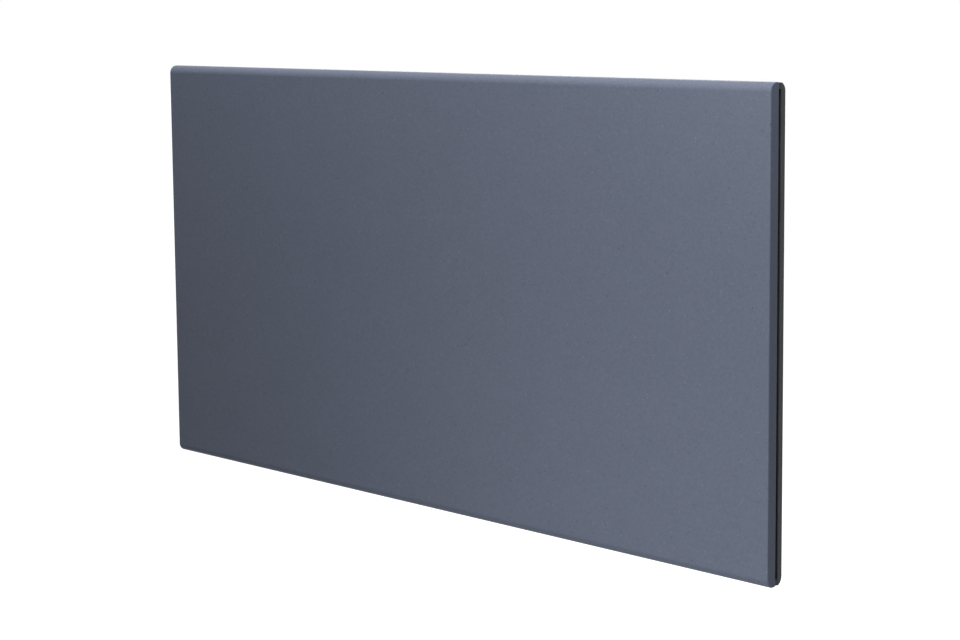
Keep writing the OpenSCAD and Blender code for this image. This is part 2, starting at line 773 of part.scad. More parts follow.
module terminal_screws() color(steel) on_wall() {
    for (p = block_screw_places())
        back_screw(p[0], p[1], case_floor + block_screw_floor, block_screw_floor + sheet + screw_over);
    for (i = [-1 : 1]) {
        x = bay_x + i * terminal_pitch;
        rod_out(x, block_up, terminal_r, [block_front - terminal_depth + 1, block_front]);
        rod_out(x, block_up, terminal_head_r, [block_front, block_front + terminal_head_h]);
    }
}

module earth_screw() color("gold") on_wall() {
    rod_out(earth_place[0], earth_place[1], earth_washer_r, [case_floor, case_floor + earth_washer_t]);
    back_screw(earth_place[0], earth_place[1], case_floor + earth_washer_t);
}

module cable_gland() color(plastic_dark) on_wall() difference() {
    union() {
        rod_up(gland_x, mid_out, gland_head_r, [-case_h / 2 - gland_head_h, -case_h / 2]);
        rod_up(gland_x, mid_out, gland_body_r, [-case_h / 2, gland_body_h - case_h / 2]);
    }
    rod_up(gland_x, mid_out, gland_bore_r, [-case_h / 2 - gland_head_h - 1, gland_body_h - case_h / 2 + 1]);
}

module gland_nut() color(plastic_dark) on_wall() difference() {
    translate([gland_x, -in_up, mid_out]) rotate([-90, 0, 0])
        cylinder(r = gland_nut_r, h = gland_nut_h, $fn = 6);
    rod_up(gland_x, mid_out, gland_body_r + fit_gap, [-in_up - 1, gland_nut_h - in_up + 1]);
}

module room_sensor() color(steel) on_wall()
    rod_up(sensor_x, mid_out, sensor_r, [-case_h / 2 - sensor_below, sensor_above - case_h / 2]);

module sensor_grommet() color(seal_black) on_wall() difference() {
    union() {
        rod_up(sensor_x, mid_out, sensor_lip_r, [-case_h / 2 - sensor_lip, -case_h / 2]);
        rod_up(sensor_x, mid_out, sensor_lip_r, [-in_up, sensor_lip - in_up]);
        rod_up(sensor_x, mid_out, sensor_neck_r, [-case_h / 2, -in_up]);
    }
    rod_up(sensor_x, mid_out, sensor_r + fit_gap, [-case_h / 2 - sensor_below, sensor_above - in_up]);
}

// Route with each inner corner rounded
function toward(a, b, d) = a + (b - a) * d / norm(b - a);
function rounded_corner(a, b, c, bend) =
    let (start = toward(b, a, bend), end = toward(b, c, bend))
    [for (t = [0 : 0.25 : 1]) (1 - t) * (1 - t) * start + 2 * t * (1 - t) * b + t * t * end];
function rounded_route(p, bend) = concat(
    [p[0]],
    [for (i = [1 : 1 : len(p) - 2]) each rounded_corner(p[i - 1], p[i], p[i + 1], bend)],
    [p[len(p) - 1]]
);
function unit(v) = v / norm(v);
function heading(q, i) = unit(q[min(i + 1, len(q) - 1)] - q[max(i - 1, 0)]);

// Insulated lead swept along a route that never runs straight out from the wall
module lead(route, r = lead_r) {
    q = rounded_route(route, lead_bend);
    last = len(q) - 1;
    rings = [
        for (i = [0 : last])
            let (ahead = heading(q, i), across = unit(cross(ahead, [0, 0, 1])), upward = cross(across, ahead))
            [for (k = [0 : lead_sides - 1])
                q[i] + r * (cos(360 * k / lead_sides) * across + sin(360 * k / lead_sides) * upward)]
    ];
    walls = [
        for (i = [0 : last - 1], k = [0 : lead_sides - 1])
            let (a = i * lead_sides + k, b = i * lead_sides + (k + 1) % lead_sides)
            each [[a, b, b + lead_sides], [a, b + lead_sides, a + lead_sides]]
    ];
    near_cap = [for (k = [1 : lead_sides - 2]) [0, k + 1, k]];
    far = last * lead_sides;
    far_cap = [for (k = [1 : lead_sides - 2]) [far, far + k, far + k + 1]];
    polyhedron(points = [for (ring = rings) each ring], faces = concat(walls, near_cap, far_cap));
}

// Ends that the leads run between
switch_back = case_w / 2 - switch_depth;
block_top = block_up + block_h / 2;
board_under = board_top - board_t;
tab_top = element_up + tab_rise;
tab_left_x = tube_x0 - pin_len / 2 - tab_t / 2;
tab_right_x = tube_x1 + pin_len / 2 + tab_t / 2;
link_gap = 3.5;
link_up = element_up + hanger_rise + link_gap;
lead_up = grommet_up + lead_apart;
return_up = grommet_up - lead_apart;

module supply_leads() color("#7a4a2a") on_wall() for (pair = [-1, 1]) {
    x = bay_x + pair * terminal_pitch;
    out = switch_out + pair * contact_out;
    low = switch_up - contact_up;
    block_out = case_floor + block_d / 2;
    lead([[x, block_top, block_out], [x, block_top + lead_straight, block_out], [x, low - lead_slack, out],
        [switch_back - 2 * lead_straight, low, out], [switch_back, low, out]]);
}

module board_leads() color("#2a5ea8") on_wall() for (pair = [-1, 1]) {
    out = switch_out + pair * contact_out;
    hole_out = mid_out + pair * 1.5 * lead_apart;
    high = switch_up + contact_up;
    lead([[switch_back, high, out], [lead_hole_right, high, out], [lead_hole_right, housing_floor, hole_out],
        [lead_hole_right, board_under, hole_out]]);
}

module element_leads() color(ceramic_white) on_wall() {
    limit_face = partition_x - limit_d;
    turn_x = limit_face - lead_turn;
    near_out = mid_out - 1.5 * lead_apart;
    far_out = mid_out + 2 * lead_apart;
    far_x = lead_hole_left + 2 * lead_apart;
    // From the board through the partition to the cut-out
    lead([[lead_hole_left, board_under, near_out], [lead_hole_left, housing_floor, near_out],
        [lead_hole_left, lead_up, grommet_out], [turn_x, lead_up, grommet_out],
        [turn_x, limit_up + limit_tab, element_out], [limit_face, limit_up + limit_tab, element_out]]);
    // From the cut-out to the element's right end
    lead([[limit_face, limit_up - limit_tab, element_out], [turn_x, limit_up - limit_tab, element_out],
        [turn_x, link_up, element_out], [tab_right_x, link_up, element_out],
        [tab_right_x, tab_top, element_out]]);
    // From the element's left end back to the board
    lead([[tab_left_x, tab_top, element_out], [tab_left_x, tab_top + lead_straight, element_out],
        [tab_left_x, return_up, lead_at_back], [partition_x - 3 * lead_turn, return_up, lead_at_back],
        [partition_x - lead_turn, return_up, grommet_out], [far_x, return_up, grommet_out],
        [far_x, housing_floor, far_out], [far_x, board_under, far_out]]);
}

module sensor_lead() color(seal_black) on_wall() {
    x = lead_hole_left - 2.5 * lead_apart;
    lead([[sensor_x, sensor_above - case_h / 2, mid_out], [sensor_x, switch_up, mid_out],
        [x, housing_floor - 2 * lead_straight, mid_out], [x, board_under, mid_out]], sensor_lead_r);
}

// Wall bracket: two angles joined by crossbars
module upright() on_wall() difference() {
    plate_x = [leg_x, leg_x + bracket_t];
    union() {
        block([leg_x, leg_x + leg_w], [-leg_end, leg_end], [0, bracket_t]);
        block(plate_x, [-leg_end, leg_end], [0, stand_off]);
        block(plate_x, [hook_low, hook_low + hook_neck], [stand_off, case_floor + hook_reach]);
        block(plate_x, [hook_low, hook_top], [case_floor + clear, case_floor + hook_reach]);
    }
    for (end = [-1, 1]) {
        rod_out(screw_span / 2, end * screw_rise / 2, screw_hole_r, [-1, 2 * bracket_t]);
        rod_out(screw_span / 2, end * crossbar_up, rivet_r + hole_clear, [-1, 2 * bracket_t]);
    }
    for (up = latch_pin_ups)
        rod_across(up, latch_pin_out, latch_pin_r + hole_clear, [leg_x - 1, leg_x + 2 * bracket_t]);
    // Windows that the crossbars pass through
    for (end = [-1, 1])
        block([leg_x - 1, leg_x + 2 * bracket_t],
            [end * crossbar_up - window_half, end * crossbar_up + window_half],
            [bracket_t, 2 * bracket_t + clear]);
}
module bracket_upright_left() color(steel) on_side(-1) upright();
module bracket_upright_right() color(steel) upright();

module crossbar(up) color(steel) on_wall() difference() {
    half = screw_span / 2 + leg_w / 2 - crossbar_over;
    block([-half, half], [up - crossbar_w / 2, up + crossbar_w / 2], [bracket_t, 2 * bracket_t]);
    for (side = [-1, 1]) rod_out(side * screw_span / 2, up, rivet_r + hole_clear, [0, 3 * bracket_t]);
}
module bracket_crossbar_top() crossbar(crossbar_up);
module bracket_crossbar_bottom() crossbar(-crossbar_up);

module crossbar_rivets() color(steel) on_wall() for (side = [-1, 1], end = [-1, 1]) {
    x = side * screw_span / 2;
    rod_out(x, end * crossbar_up, rivet_r, [clear, 2 * bracket_t]);
    rod_out(x, end * crossbar_up, rivet_head_r, [2 * bracket_t, 2 * bracket_t + rivet_head_h]);
}

// Sliding catch beside an upright's leg, with a nose through the casing's back and a pull tab below
module latch() on_wall() difference() {
    plate_x = [latch_x0, latch_x0 + latch_t];
    hole_x = [latch_x0 - 1, latch_x0 + latch_t + 1];
    tip_out = case_floor + hook_reach;
    union() {
        block(plate_x, [latch_bottom, latch_pin_ups[0] + latch_over], [latch_back, latch_front]);
        block(plate_x, [latch_low, latch_low + latch_neck], [latch_front, tip_out]);
        block(plate_x, [latch_low, latch_low + latch_neck + latch_tip], [case_floor + clear, tip_out]);
        block([latch_x0, latch_x0 + latch_tab], [latch_bottom, latch_bottom + latch_t],
            [latch_back, latch_front]);
    }
    for (up = latch_pin_ups) {
        rod_across(up, latch_pin_out, latch_pin_r + hole_clear, hole_x);
        rod_across(up + latch_travel, latch_pin_out, latch_pin_r + hole_clear, hole_x);
        block(hole_x, [up, up + latch_travel],
            [latch_pin_out - latch_pin_r - hole_clear, latch_pin_out + latch_pin_r + hole_clear]);
    }
}
module latch_left() color(plastic_dark) on_side(-1) latch();
module latch_right() color(plastic_dark) latch();

module latch_pins() color(steel) for (side = [-1, 1], up = latch_pin_ups) on_side(side) on_wall() {
    head_x = latch_x0 + latch_t + clear;
    rod_across(up, latch_pin_out, latch_pin_r, [leg_x, head_x]);
    rod_across(up, latch_pin_out, latch_pin_head_r, [head_x, head_x + rivet_head_h]);
}

front_cover();
gap_seal_top();
gap_seal_bottom();
gap_seal_left();
gap_seal_right();
cover_screws();
rear_casing();
partition_plate();
partition_screws();
partition_grommet();
heat_shield();
shield_posts();
shield_screws();
wall_bumpers();
element_tube();
element_fins();
element_pins();
element_bush_left();
element_bush_right();
element_hanger_left();
element_hanger_right();
hanger_screws();
limit_thermostat();
thermostat_screws();
control_housing();
control_fascia();
display_window();
display_module();
control_board();
power_relay();
board_screws();
key_switches();
button_minus();
button_mode();
button_plus();
switch_body();
switch_rocker();
terminal_block();
terminal_screws();
earth_screw();
cable_gland();
gland_nut();
room_sensor();
sensor_grommet();
supply_leads();
board_leads();
element_leads();
sensor_lead();
bracket_upright_left();
bracket_upright_right();
bracket_crossbar_top();
bracket_crossbar_bottom();
crossbar_rivets();
latch_left();
latch_right();
latch_pins();
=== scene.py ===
# Wall-hung panel convector heater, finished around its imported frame
import json
import math
import bmesh
import bpy
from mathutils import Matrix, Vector


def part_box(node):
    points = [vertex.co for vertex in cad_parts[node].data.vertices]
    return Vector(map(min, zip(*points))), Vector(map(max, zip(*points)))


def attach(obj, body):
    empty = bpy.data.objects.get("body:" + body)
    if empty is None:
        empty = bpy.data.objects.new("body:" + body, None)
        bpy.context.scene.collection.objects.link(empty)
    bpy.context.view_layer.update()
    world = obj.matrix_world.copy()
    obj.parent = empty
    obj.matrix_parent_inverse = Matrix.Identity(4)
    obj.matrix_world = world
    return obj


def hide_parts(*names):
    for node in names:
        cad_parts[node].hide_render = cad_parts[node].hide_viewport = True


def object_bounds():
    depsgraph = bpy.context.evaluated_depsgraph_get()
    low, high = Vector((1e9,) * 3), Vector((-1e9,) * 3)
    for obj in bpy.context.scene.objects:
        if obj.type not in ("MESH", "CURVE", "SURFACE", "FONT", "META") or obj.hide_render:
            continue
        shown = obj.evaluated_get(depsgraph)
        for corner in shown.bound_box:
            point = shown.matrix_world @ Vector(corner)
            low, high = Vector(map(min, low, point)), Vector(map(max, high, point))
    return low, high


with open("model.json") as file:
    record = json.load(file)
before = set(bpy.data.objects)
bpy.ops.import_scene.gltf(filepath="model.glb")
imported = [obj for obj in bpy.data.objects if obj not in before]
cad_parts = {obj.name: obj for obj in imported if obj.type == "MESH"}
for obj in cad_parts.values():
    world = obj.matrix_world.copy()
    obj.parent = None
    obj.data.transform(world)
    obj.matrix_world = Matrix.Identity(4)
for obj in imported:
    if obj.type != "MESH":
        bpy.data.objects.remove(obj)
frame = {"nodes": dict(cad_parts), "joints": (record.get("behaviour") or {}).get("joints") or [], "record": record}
cad_low, cad_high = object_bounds()
nodes = frame["nodes"]

# Camera, placed by the panel's outline in the photograph: pixels, then millimetres, metres and degrees
IMAGE_WIDTH = 960
FOCAL_PIXELS = 2030.9
AXIS_ABOVE_MIDDLE = 96
SENSOR_WIDTH = 36.0
CAMERA_PLACE = (1.1959, -1.2688, 0.2472)
CAMERA_TURN = (83.612, 0.492, 43.779)

# How near places, in metres, and directions, by their cosine, count as the same
NEAR = 0.0001
MERGE_WITHIN = 0.000005
SQUARE_ON = 0.99

# Edges that turn by fewer degrees than this are shaded smooth
SMOOTH_BELOW = 35

panel_low, panel_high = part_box("front_cover")
casing_low, casing_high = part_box("rear_casing")
gland_low, gland_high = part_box("cable_gland")
MID_DEPTH = (gland_low.y + gland_high.y) / 2


# Tools for modelling by hand
def only(piece):
    bpy.ops.object.select_all(action="DESELECT")
    piece.select_set(True)
    bpy.context.view_layer.objects.active = piece


def settle(piece):
    only(piece)
    bpy.ops.object.transform_apply(location=True, rotation=True, scale=True)
    return piece


def block_between(name, low, high):
    size = Vector(high) - Vector(low)
    middle = (Vector(high) + Vector(low)) / 2
    bpy.ops.object.select_all(action="DESELECT")
    bpy.ops.mesh.primitive_cube_add(size=1, location=middle)
    piece = bpy.context.object
    piece.name = name
    piece.scale = size
    return settle(piece)


def open_up(piece):
    only(piece)
    bpy.ops.object.mode_set(mode="EDIT")
    bpy.ops.mesh.select_all(action="DESELECT")


def close_up():
    bpy.ops.object.mode_set(mode="OBJECT")


def choose_faces(piece, wanted):
    bpy.ops.mesh.select_mode(type="FACE")
    bpy.ops.mesh.select_all(action="DESELECT")
    shape = bmesh.from_edit_mesh(piece.data)
    for face in shape.faces:
        face.select_set(bool(wanted(face.calc_center_median(), face.normal)))
    bmesh.update_edit_mesh(piece.data)


def choose_edges(piece, wanted):
    bpy.ops.mesh.select_mode(type="EDGE")
    bpy.ops.mesh.select_all(action="DESELECT")
    shape = bmesh.from_edit_mesh(piece.data)
    for edge in shape.edges:
        a, b = edge.verts[0].co, edge.verts[1].co
        edge.select_set(bool(wanted(a, b)))
    bmesh.update_edit_mesh(piece.data)


def choose_face_at(piece, place, way):
    def is_there(centre, normal):
        return normal.dot(way) > SQUARE_ON and (centre - place).length < NEAR

    choose_faces(piece, is_there)


def pull(offset):
    bpy.ops.mesh.extrude_region_move(TRANSFORM_OT_translate={"value": tuple(offset)})


def resize(factors, centre):
    bpy.ops.transform.resize(value=tuple(factors), center_override=tuple(centre))


def round_edges(radius, segments):
    bpy.ops.mesh.bevel(offset=radius, segments=segments, affect="EDGES", clamp_overlap=True)


def right_way_out(piece):
    open_up(piece)
    bpy.ops.mesh.select_all(action="SELECT")
    bpy.ops.mesh.remove_doubles(threshold=MERGE_WITHIN)
    bpy.ops.mesh.normals_make_consistent(inside=False)
    close_up()


def smooth(piece):
    only(piece)
    bpy.ops.object.shade_smooth_by_angle(angle=math.radians(SMOOTH_BELOW))


def flatten_shading(piece):
    """Keep large flat faces flat beside the small rounded ones."""
    only(piece)
    bpy.ops.object.modifier_add(type="WEIGHTED_NORMAL")
    even = piece.modifiers[-1]
    even.keep_sharp = True
    bpy.ops.object.modifier_apply(modifier=even.name)


def finish_off(piece, body, slot, stands_for=()):
    smooth(piece)
    piece.data.materials.clear()
    piece.data.materials.append(FINISH_OF_SLOT[slot])
    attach(piece, body)
    if stands_for:
        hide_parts(*stands_for)


def twin(piece, name, offset):
    copy = piece.copy()
    copy.data = piece.data.copy()
    copy.name = name
    bpy.context.scene.collection.objects.link(copy)
    copy.location = Vector(offset)
    return settle(copy)


def finish_set(first, name, offsets, body, slot, stands_for):
    """Finish a piece that is number 1 of its name, and its copies at the offsets from it."""
    copies = []
    for number, offset in enumerate(offsets, start=2):
        copies.append(twin(first, "%s_%d" % (name, number), offset))
    for piece in copies + [first]:
        finish_off(piece, body, slot, stands_for)


def turned(name, start, along, steps, sides=32):
    """A turned shape: steps are (distance from start, radius) along an axis."""
    axis = Vector(along).normalized()
    begin = Vector(start) + axis * steps[0][0]
    end = Vector(start) + axis * steps[1][0]
    bpy.ops.object.select_all(action="DESELECT")
    bpy.ops.mesh.primitive_cylinder_add(
        vertices=sides,
        radius=steps[0][1],
        depth=(end - begin).length,
        location=(begin + end) / 2,
        rotation=axis.to_track_quat("Z", "Y").to_euler(),
    )
    piece = bpy.context.object
    piece.name = name
    settle(piece)
    open_up(piece)
    choose_face_at(piece, end, axis)
    resize([steps[1][1] / steps[0][1]] * 3, end)
    for before, after in zip(steps[1:], steps[2:]):
        place = Vector(start) + axis * after[0]
        pull(axis * (after[0] - before[0]))
        resize([after[1] / before[1]] * 3, place)
    close_up()
    right_way_out(piece)
    return piece


# Colour written as the screen shows it, from 0 to 255
def shade(red, green, blue):
    def linear(level):
        level = level / 255
        return level / 12.92 if level <= 0.04045 else ((level + 0.055) / 1.055) ** 2.4
    return (linear(red), linear(green), linear(blue), 1.0)


# Effects that several finishes share, and the kinds of their inputs and outputs
VECTOR = "NodeSocketVector"
COLOUR = "NodeSocketColor"
VALUE = "NodeSocketFloat"
PLACE_AND_COLOUR = {"Place": VECTOR, "Colour": COLOUR}


def new_effect(name, inputs, outputs):
    """A node group, its inputs and outputs given by name and kind. Every use sets all its inputs."""
    effect = bpy.data.node_groups.new(name, "ShaderNodeTree")
    for label, kind in inputs.items():
        effect.interface.new_socket(name=label, in_out="INPUT", socket_type=kind)
    for label, kind in outputs.items():
        effect.interface.new_socket(name=label, in_out="OUTPUT", socket_type=kind)
    entry = effect.nodes.new("NodeGroupInput")
    outlet = effect.nodes.new("NodeGroupOutput")
    return effect, entry, outlet


def feed(tree, socket, value):
    """Give a socket a constant, or a link where the value is an output."""
    if isinstance(value, (int, float, tuple)):
        socket.default_value = value
    else:
        tree.links.new(value, socket)


def arithmetic(tree, operation, first, second, clamp=False):
    node = tree.nodes.new("ShaderNodeMath")
    node.operation = operation
    node.use_clamp = clamp
    feed(tree, node.inputs[0], first)
    feed(tree, node.inputs[1], second)
    return node.outputs[0]


# Which sockets of a Mix node are those for colours
MIX_FIRST = 6
MIX_SECOND = 7
MIX_RESULT = 2


def blend_colours(tree, mask, first, second):
    mix = tree.nodes.new("ShaderNodeMix")
    mix.data_type = "RGBA"
    tree.links.new(mask, mix.inputs["Factor"])
    feed(tree, mix.inputs[MIX_FIRST], first)
    feed(tree, mix.inputs[MIX_SECOND], second)
    return mix.outputs[MIX_RESULT]


def scaled_colour(effect, entry, level):
    tint = effect.nodes.new("ShaderNodeVectorMath")
    tint.operation = "SCALE"
    effect.links.new(entry.outputs["Colour"], tint.inputs[0])
    effect.links.new(level, tint.inputs["Scale"])
    return tint.outputs[0]


def varied_colour(effect, entry, spread):
    """The colour made lighter and darker by a value that lies about a half."""
    centred = arithmetic(effect, "SUBTRACT", spread, 0.5)
    strength = arithmetic(effect, "MULTIPLY", centred, entry.outputs["Contrast"])
    return scaled_colour(effect, entry, arithmetic(effect, "ADD", strength, 1.0))


def make_grain():
    """Fine mottling of a colour, with a height for a bump."""
    effect, entry, outlet = new_effect(
        "fine_grain",
        {**PLACE_AND_COLOUR, "Fineness": VALUE, "Contrast": VALUE},
        {"Colour": COLOUR, "Height": VALUE},
    )
    noise = effect.nodes.new("ShaderNodeTexNoise")
    noise.inputs["Detail"].default_value = 2.5
    noise.inputs["Roughness"].default_value = 0.6
    effect.links.new(entry.outputs["Place"], noise.inputs["Vector"])
    effect.links.new(entry.outputs["Fineness"], noise.inputs["Scale"])
    effect.links.new(varied_colour(effect, entry, noise.outputs["Fac"]), outlet.inputs["Colour"])
    effect.links.new(noise.outputs["Fac"], outlet.inputs["Height"])
    return effect


def make_flecks():
    """Sparse flecks in a powder coat, some lighter and some darker than the ground."""
    effect, entry, outlet = new_effect(
        "coat_flecks",
        {**PLACE_AND_COLOUR, "Spacing": VALUE, "Share": VALUE, "Strength": VALUE},
        {"Colour": COLOUR},
    )
    cells = effect.nodes.new("ShaderNodeTexVoronoi")
    cells.feature = "F1"
    effect.links.new(entry.outputs["Place"], cells.inputs["Vector"])
    effect.links.new(entry.outputs["Spacing"], cells.inputs["Scale"])
    dots = effect.nodes.new("ShaderNodeMapRange")
    dots.inputs["From Min"].default_value = 0.34
    dots.inputs["From Max"].default_value = 0.22
    effect.links.new(cells.outputs["Distance"], dots.inputs["Value"])
    chance = effect.nodes.new("ShaderNodeSeparateColor")
    effect.links.new(cells.outputs["Color"], chance.inputs[0])
    chosen = arithmetic(effect, "LESS_THAN", chance.outputs[0], entry.outputs["Share"])
    mask = arithmetic(effect, "MULTIPLY", dots.outputs["Result"], chosen)
    lighter = arithmetic(effect, "SUBTRACT", chance.outputs[2], 0.5)
    shift = arithmetic(effect, "MULTIPLY", lighter, mask)
    shift = arithmetic(effect, "MULTIPLY", shift, entry.outputs["Strength"])
    level = arithmetic(effect, "ADD", shift, 1.0)
    effect.links.new(scaled_colour(effect, entry, level), outlet.inputs["Colour"])
    return effect


RUB_SHARPNESS = 6.0


def make_edge_rub():
    """A mask of outer edges, broken up by noise, where a finish is rubbed thin."""
    effect, entry, outlet = new_effect(
        "edge_rub",
        {"Place": VECTOR, "Width": VALUE, "Amount": VALUE},
        {"Mask": VALUE},
    )
    corner = effect.nodes.new("ShaderNodeBevel")
    corner.samples = 4
    surface = effect.nodes.new("ShaderNodeNewGeometry")
    effect.links.new(entry.outputs["Width"], corner.inputs["Radius"])
    meet = effect.nodes.new("ShaderNodeVectorMath")
    meet.operation = "DOT_PRODUCT"
    effect.links.new(corner.outputs["Normal"], meet.inputs[0])
    effect.links.new(surface.outputs["Normal"], meet.inputs[1])
    turn = arithmetic(effect, "SUBTRACT", 1.0, meet.outputs["Value"])
    edge = arithmetic(effect, "MULTIPLY", turn, RUB_SHARPNESS, clamp=True)
    noise = effect.nodes.new("ShaderNodeTexNoise")
    noise.inputs["Scale"].default_value = 90.0
    noise.inputs["Detail"].default_value = 4.0
    effect.links.new(entry.outputs["Place"], noise.inputs["Vector"])
    patchy = effect.nodes.new("ShaderNodeMapRange")
    patchy.inputs["From Min"].default_value = 0.42
    patchy.inputs["From Max"].default_value = 0.62
    effect.links.new(noise.outputs["Fac"], patchy.inputs["Value"])
    broken = arithmetic(effect, "MULTIPLY", edge, patchy.outputs["Result"])
    mask = arithmetic(effect, "MULTIPLY", broken, entry.outputs["Amount"], clamp=True)
    effect.links.new(mask, outlet.inputs["Mask"])
    return effect


DUST_COLOUR = shade(150, 147, 140)


def make_dust():
    """A thin film of dust on what faces up."""
    effect, entry, outlet = new_effect(
        "settled_dust",
        {**PLACE_AND_COLOUR, "Amount": VALUE},
        {"Colour": COLOUR},
    )
    surface = effect.nodes.new("ShaderNodeNewGeometry")
    parts = effect.nodes.new("ShaderNodeSeparateXYZ")
    effect.links.new(surface.outputs["Normal"], parts.inputs[0])
    facing = arithmetic(effect, "MULTIPLY", parts.outputs["Z"], entry.outputs["Amount"], clamp=True)
    noise = effect.nodes.new("ShaderNodeTexNoise")
    noise.inputs["Scale"].default_value = 35.0
    noise.inputs["Detail"].default_value = 5.0
    effect.links.new(entry.outputs["Place"], noise.inputs["Vector"])
    mask = arithmetic(effect, "MULTIPLY", facing, noise.outputs["Fac"], clamp=True)
    film = blend_colours(effect, mask, entry.outputs["Colour"], DUST_COLOUR)
    effect.links.new(film, outlet.inputs["Colour"])
    return effect


def make_drawn_grain():
    """Lines drawn out along one axis, as on rolled sheet and drawn wire."""
    effect, entry, outlet = new_effect(
        "drawn_grain",
        {**PLACE_AND_COLOUR, "Contrast": VALUE},
        {"Colour": COLOUR, "Height": VALUE, "Roughness": VALUE},
    )
    noise = effect.nodes.new("ShaderNodeTexNoise")
    noise.inputs["Scale"].default_value = 14.0
    noise.inputs["Detail"].default_value = 6.0
    noise.inputs["Roughness"].default_value = 0.7
    effect.links.new(entry.outputs["Place"], noise.inputs["Vector"])
    rough = effect.nodes.new("ShaderNodeMapRange")
    rough.inputs["To Min"].default_value = 0.28
    rough.inputs["To Max"].default_value = 0.5
    effect.links.new(noise.outputs["Fac"], rough.inputs["Value"])
    effect.links.new(varied_colour(effect, entry, noise.outputs["Fac"]), outlet.inputs["Colour"])
    effect.links.new(noise.outputs["Fac"], outlet.inputs["Height"])
    effect.links.new(rough.outputs["Result"], outlet.inputs["Roughness"])
    return effect


def make_spangle():
    """The crystal pattern of hot-dipped zinc."""
    effect, entry, outlet = new_effect(
        "zinc_spangle",
        {**PLACE_AND_COLOUR, "Contrast": VALUE, "Size": VALUE},
        {"Colour": COLOUR, "Roughness": VALUE},
    )
    crystals = effect.nodes.new("ShaderNodeTexVoronoi")
    crystals.feature = "F1"
    effect.links.new(entry.outputs["Place"], crystals.inputs["Vector"])
    effect.links.new(entry.outputs["Size"], crystals.inputs["Scale"])
    parts = effect.nodes.new("ShaderNodeSeparateColor")
    effect.links.new(crystals.outputs["Color"], parts.inputs[0])
    rough = effect.nodes.new("ShaderNodeMapRange")
    rough.inputs["To Min"].default_value = 0.3
    rough.inputs["To Max"].default_value = 0.48
    effect.links.new(parts.outputs[1], rough.inputs["Value"])
    effect.links.new(varied_colour(effect, entry, parts.outputs[0]), outlet.inputs["Colour"])
    effect.links.new(rough.outputs["Result"], outlet.inputs["Roughness"])
    return effect


fine_grain = make_grain()
coat_flecks = make_flecks()
edge_rub = make_edge_rub()
settled_dust = make_dust()
drawn_grain = make_drawn_grain()
zinc_spangle = make_spangle()


# Colours, and depths in metres and strengths of fine relief, that the finishes use
PANEL_BLUE = shade(102, 109, 125)
CASING_GREY = shade(70, 72, 74)
BARE_STEEL = shade(150, 152, 155)
RUBBED_ZINC = shade(205, 207, 210)
COAT_RELIEF = 0.0004
SKIN_RELIEF = 0.0002
TRACK_RELIEF = 0.0001
METAL_BUMP = 0.15
TRACK_BUMP = 0.3


# Finishes
def start_finish(name, roughness=0.5, metallic=0.0, stretch=(1, 1, 1)):
    finish = bpy.data.materials.new(name)
    finish.use_nodes = True
    tree = finish.node_tree
    shader = tree.nodes["Principled BSDF"]
    shader.inputs["Roughness"].default_value = roughness
    shader.inputs["Metallic"].default_value = metallic
    coordinates = tree.nodes.new("ShaderNodeTexCoord")
    mapping = tree.nodes.new("ShaderNodeMapping")
    mapping.inputs["Scale"].default_value = stretch
    tree.links.new(coordinates.outputs["Object"], mapping.inputs["Vector"])
    return finish, tree, shader, mapping.outputs["Vector"]


def use(tree, effect, **values):
    node = tree.nodes.new("ShaderNodeGroup")
    node.node_tree = effect
    for label, value in values.items():
        feed(tree, node.inputs[label], value)
    return node


def add_bump(tree, shader, height, strength, distance):
    bump = tree.nodes.new("ShaderNodeBump")
    bump.inputs["Strength"].default_value = strength
    bump.inputs["Distance"].default_value = distance
    tree.links.new(height, bump.inputs["Height"])
    tree.links.new(bump.outputs["Normal"], shader.inputs["Normal"])


def paint(name, colour, fineness, contrast, roughness, specular, bump, flecks, rub_amount=0.0, dust=0.0):
    """Structured powder coat, with bare metal at rubbed edges and dust where asked for."""
    finish, tree, shader, place = start_finish(name, roughness)
    shader.inputs["Specular IOR Level"].default_value = specular
    grain = use(tree, fine_grain, Place=place, Colour=colour, Fineness=fineness, Contrast=contrast)
    ground = grain.outputs["Colour"]
    fleck = use(tree, coat_flecks, Place=place, Colour=ground, Spacing=420.0, Share=0.16, Strength=flecks)
    flecked = fleck.outputs["Colour"]
    cloud = use(tree, fine_grain, Place=place, Colour=flecked, Fineness=24.0, Contrast=0.08)
    surface = cloud.outputs["Colour"]
    if rub_amount:
        rub = use(tree, edge_rub, Place=place, Width=0.0009, Amount=rub_amount)
        surface = blend_colours(tree, rub.outputs["Mask"], surface, BARE_STEEL)
    if dust:
        surface = use(tree, settled_dust, Place=place, Colour=surface, Amount=dust).outputs["Colour"]
    tree.links.new(surface, shader.inputs["Base Color"])
    add_bump(tree, shader, grain.outputs["Height"], bump, COAT_RELIEF)
    return finish


def moulded(name, colour, roughness, fineness=900.0, contrast=0.12, bump=0.25, specular=0.4, dust=0.0):
    """Moulded plastic, rubber or glazed clay with a fine skin."""
    finish, tree, shader, place = start_finish(name, roughness)
    shader.inputs["Specular IOR Level"].default_value = specular
    grain = use(tree, fine_grain, Place=place, Colour=colour, Fineness=fineness, Contrast=contrast)
    skin = grain.outputs["Colour"]
    flow = use(tree, fine_grain, Place=place, Colour=skin, Fineness=40.0, Contrast=0.08)
    surface = flow.outputs["Colour"]
    if dust:
        surface = use(tree, settled_dust, Place=place, Colour=surface, Amount=dust).outputs["Colour"]
    tree.links.new(surface, shader.inputs["Base Color"])
    add_bump(tree, shader, grain.outputs["Height"], bump, SKIN_RELIEF)
    return finish


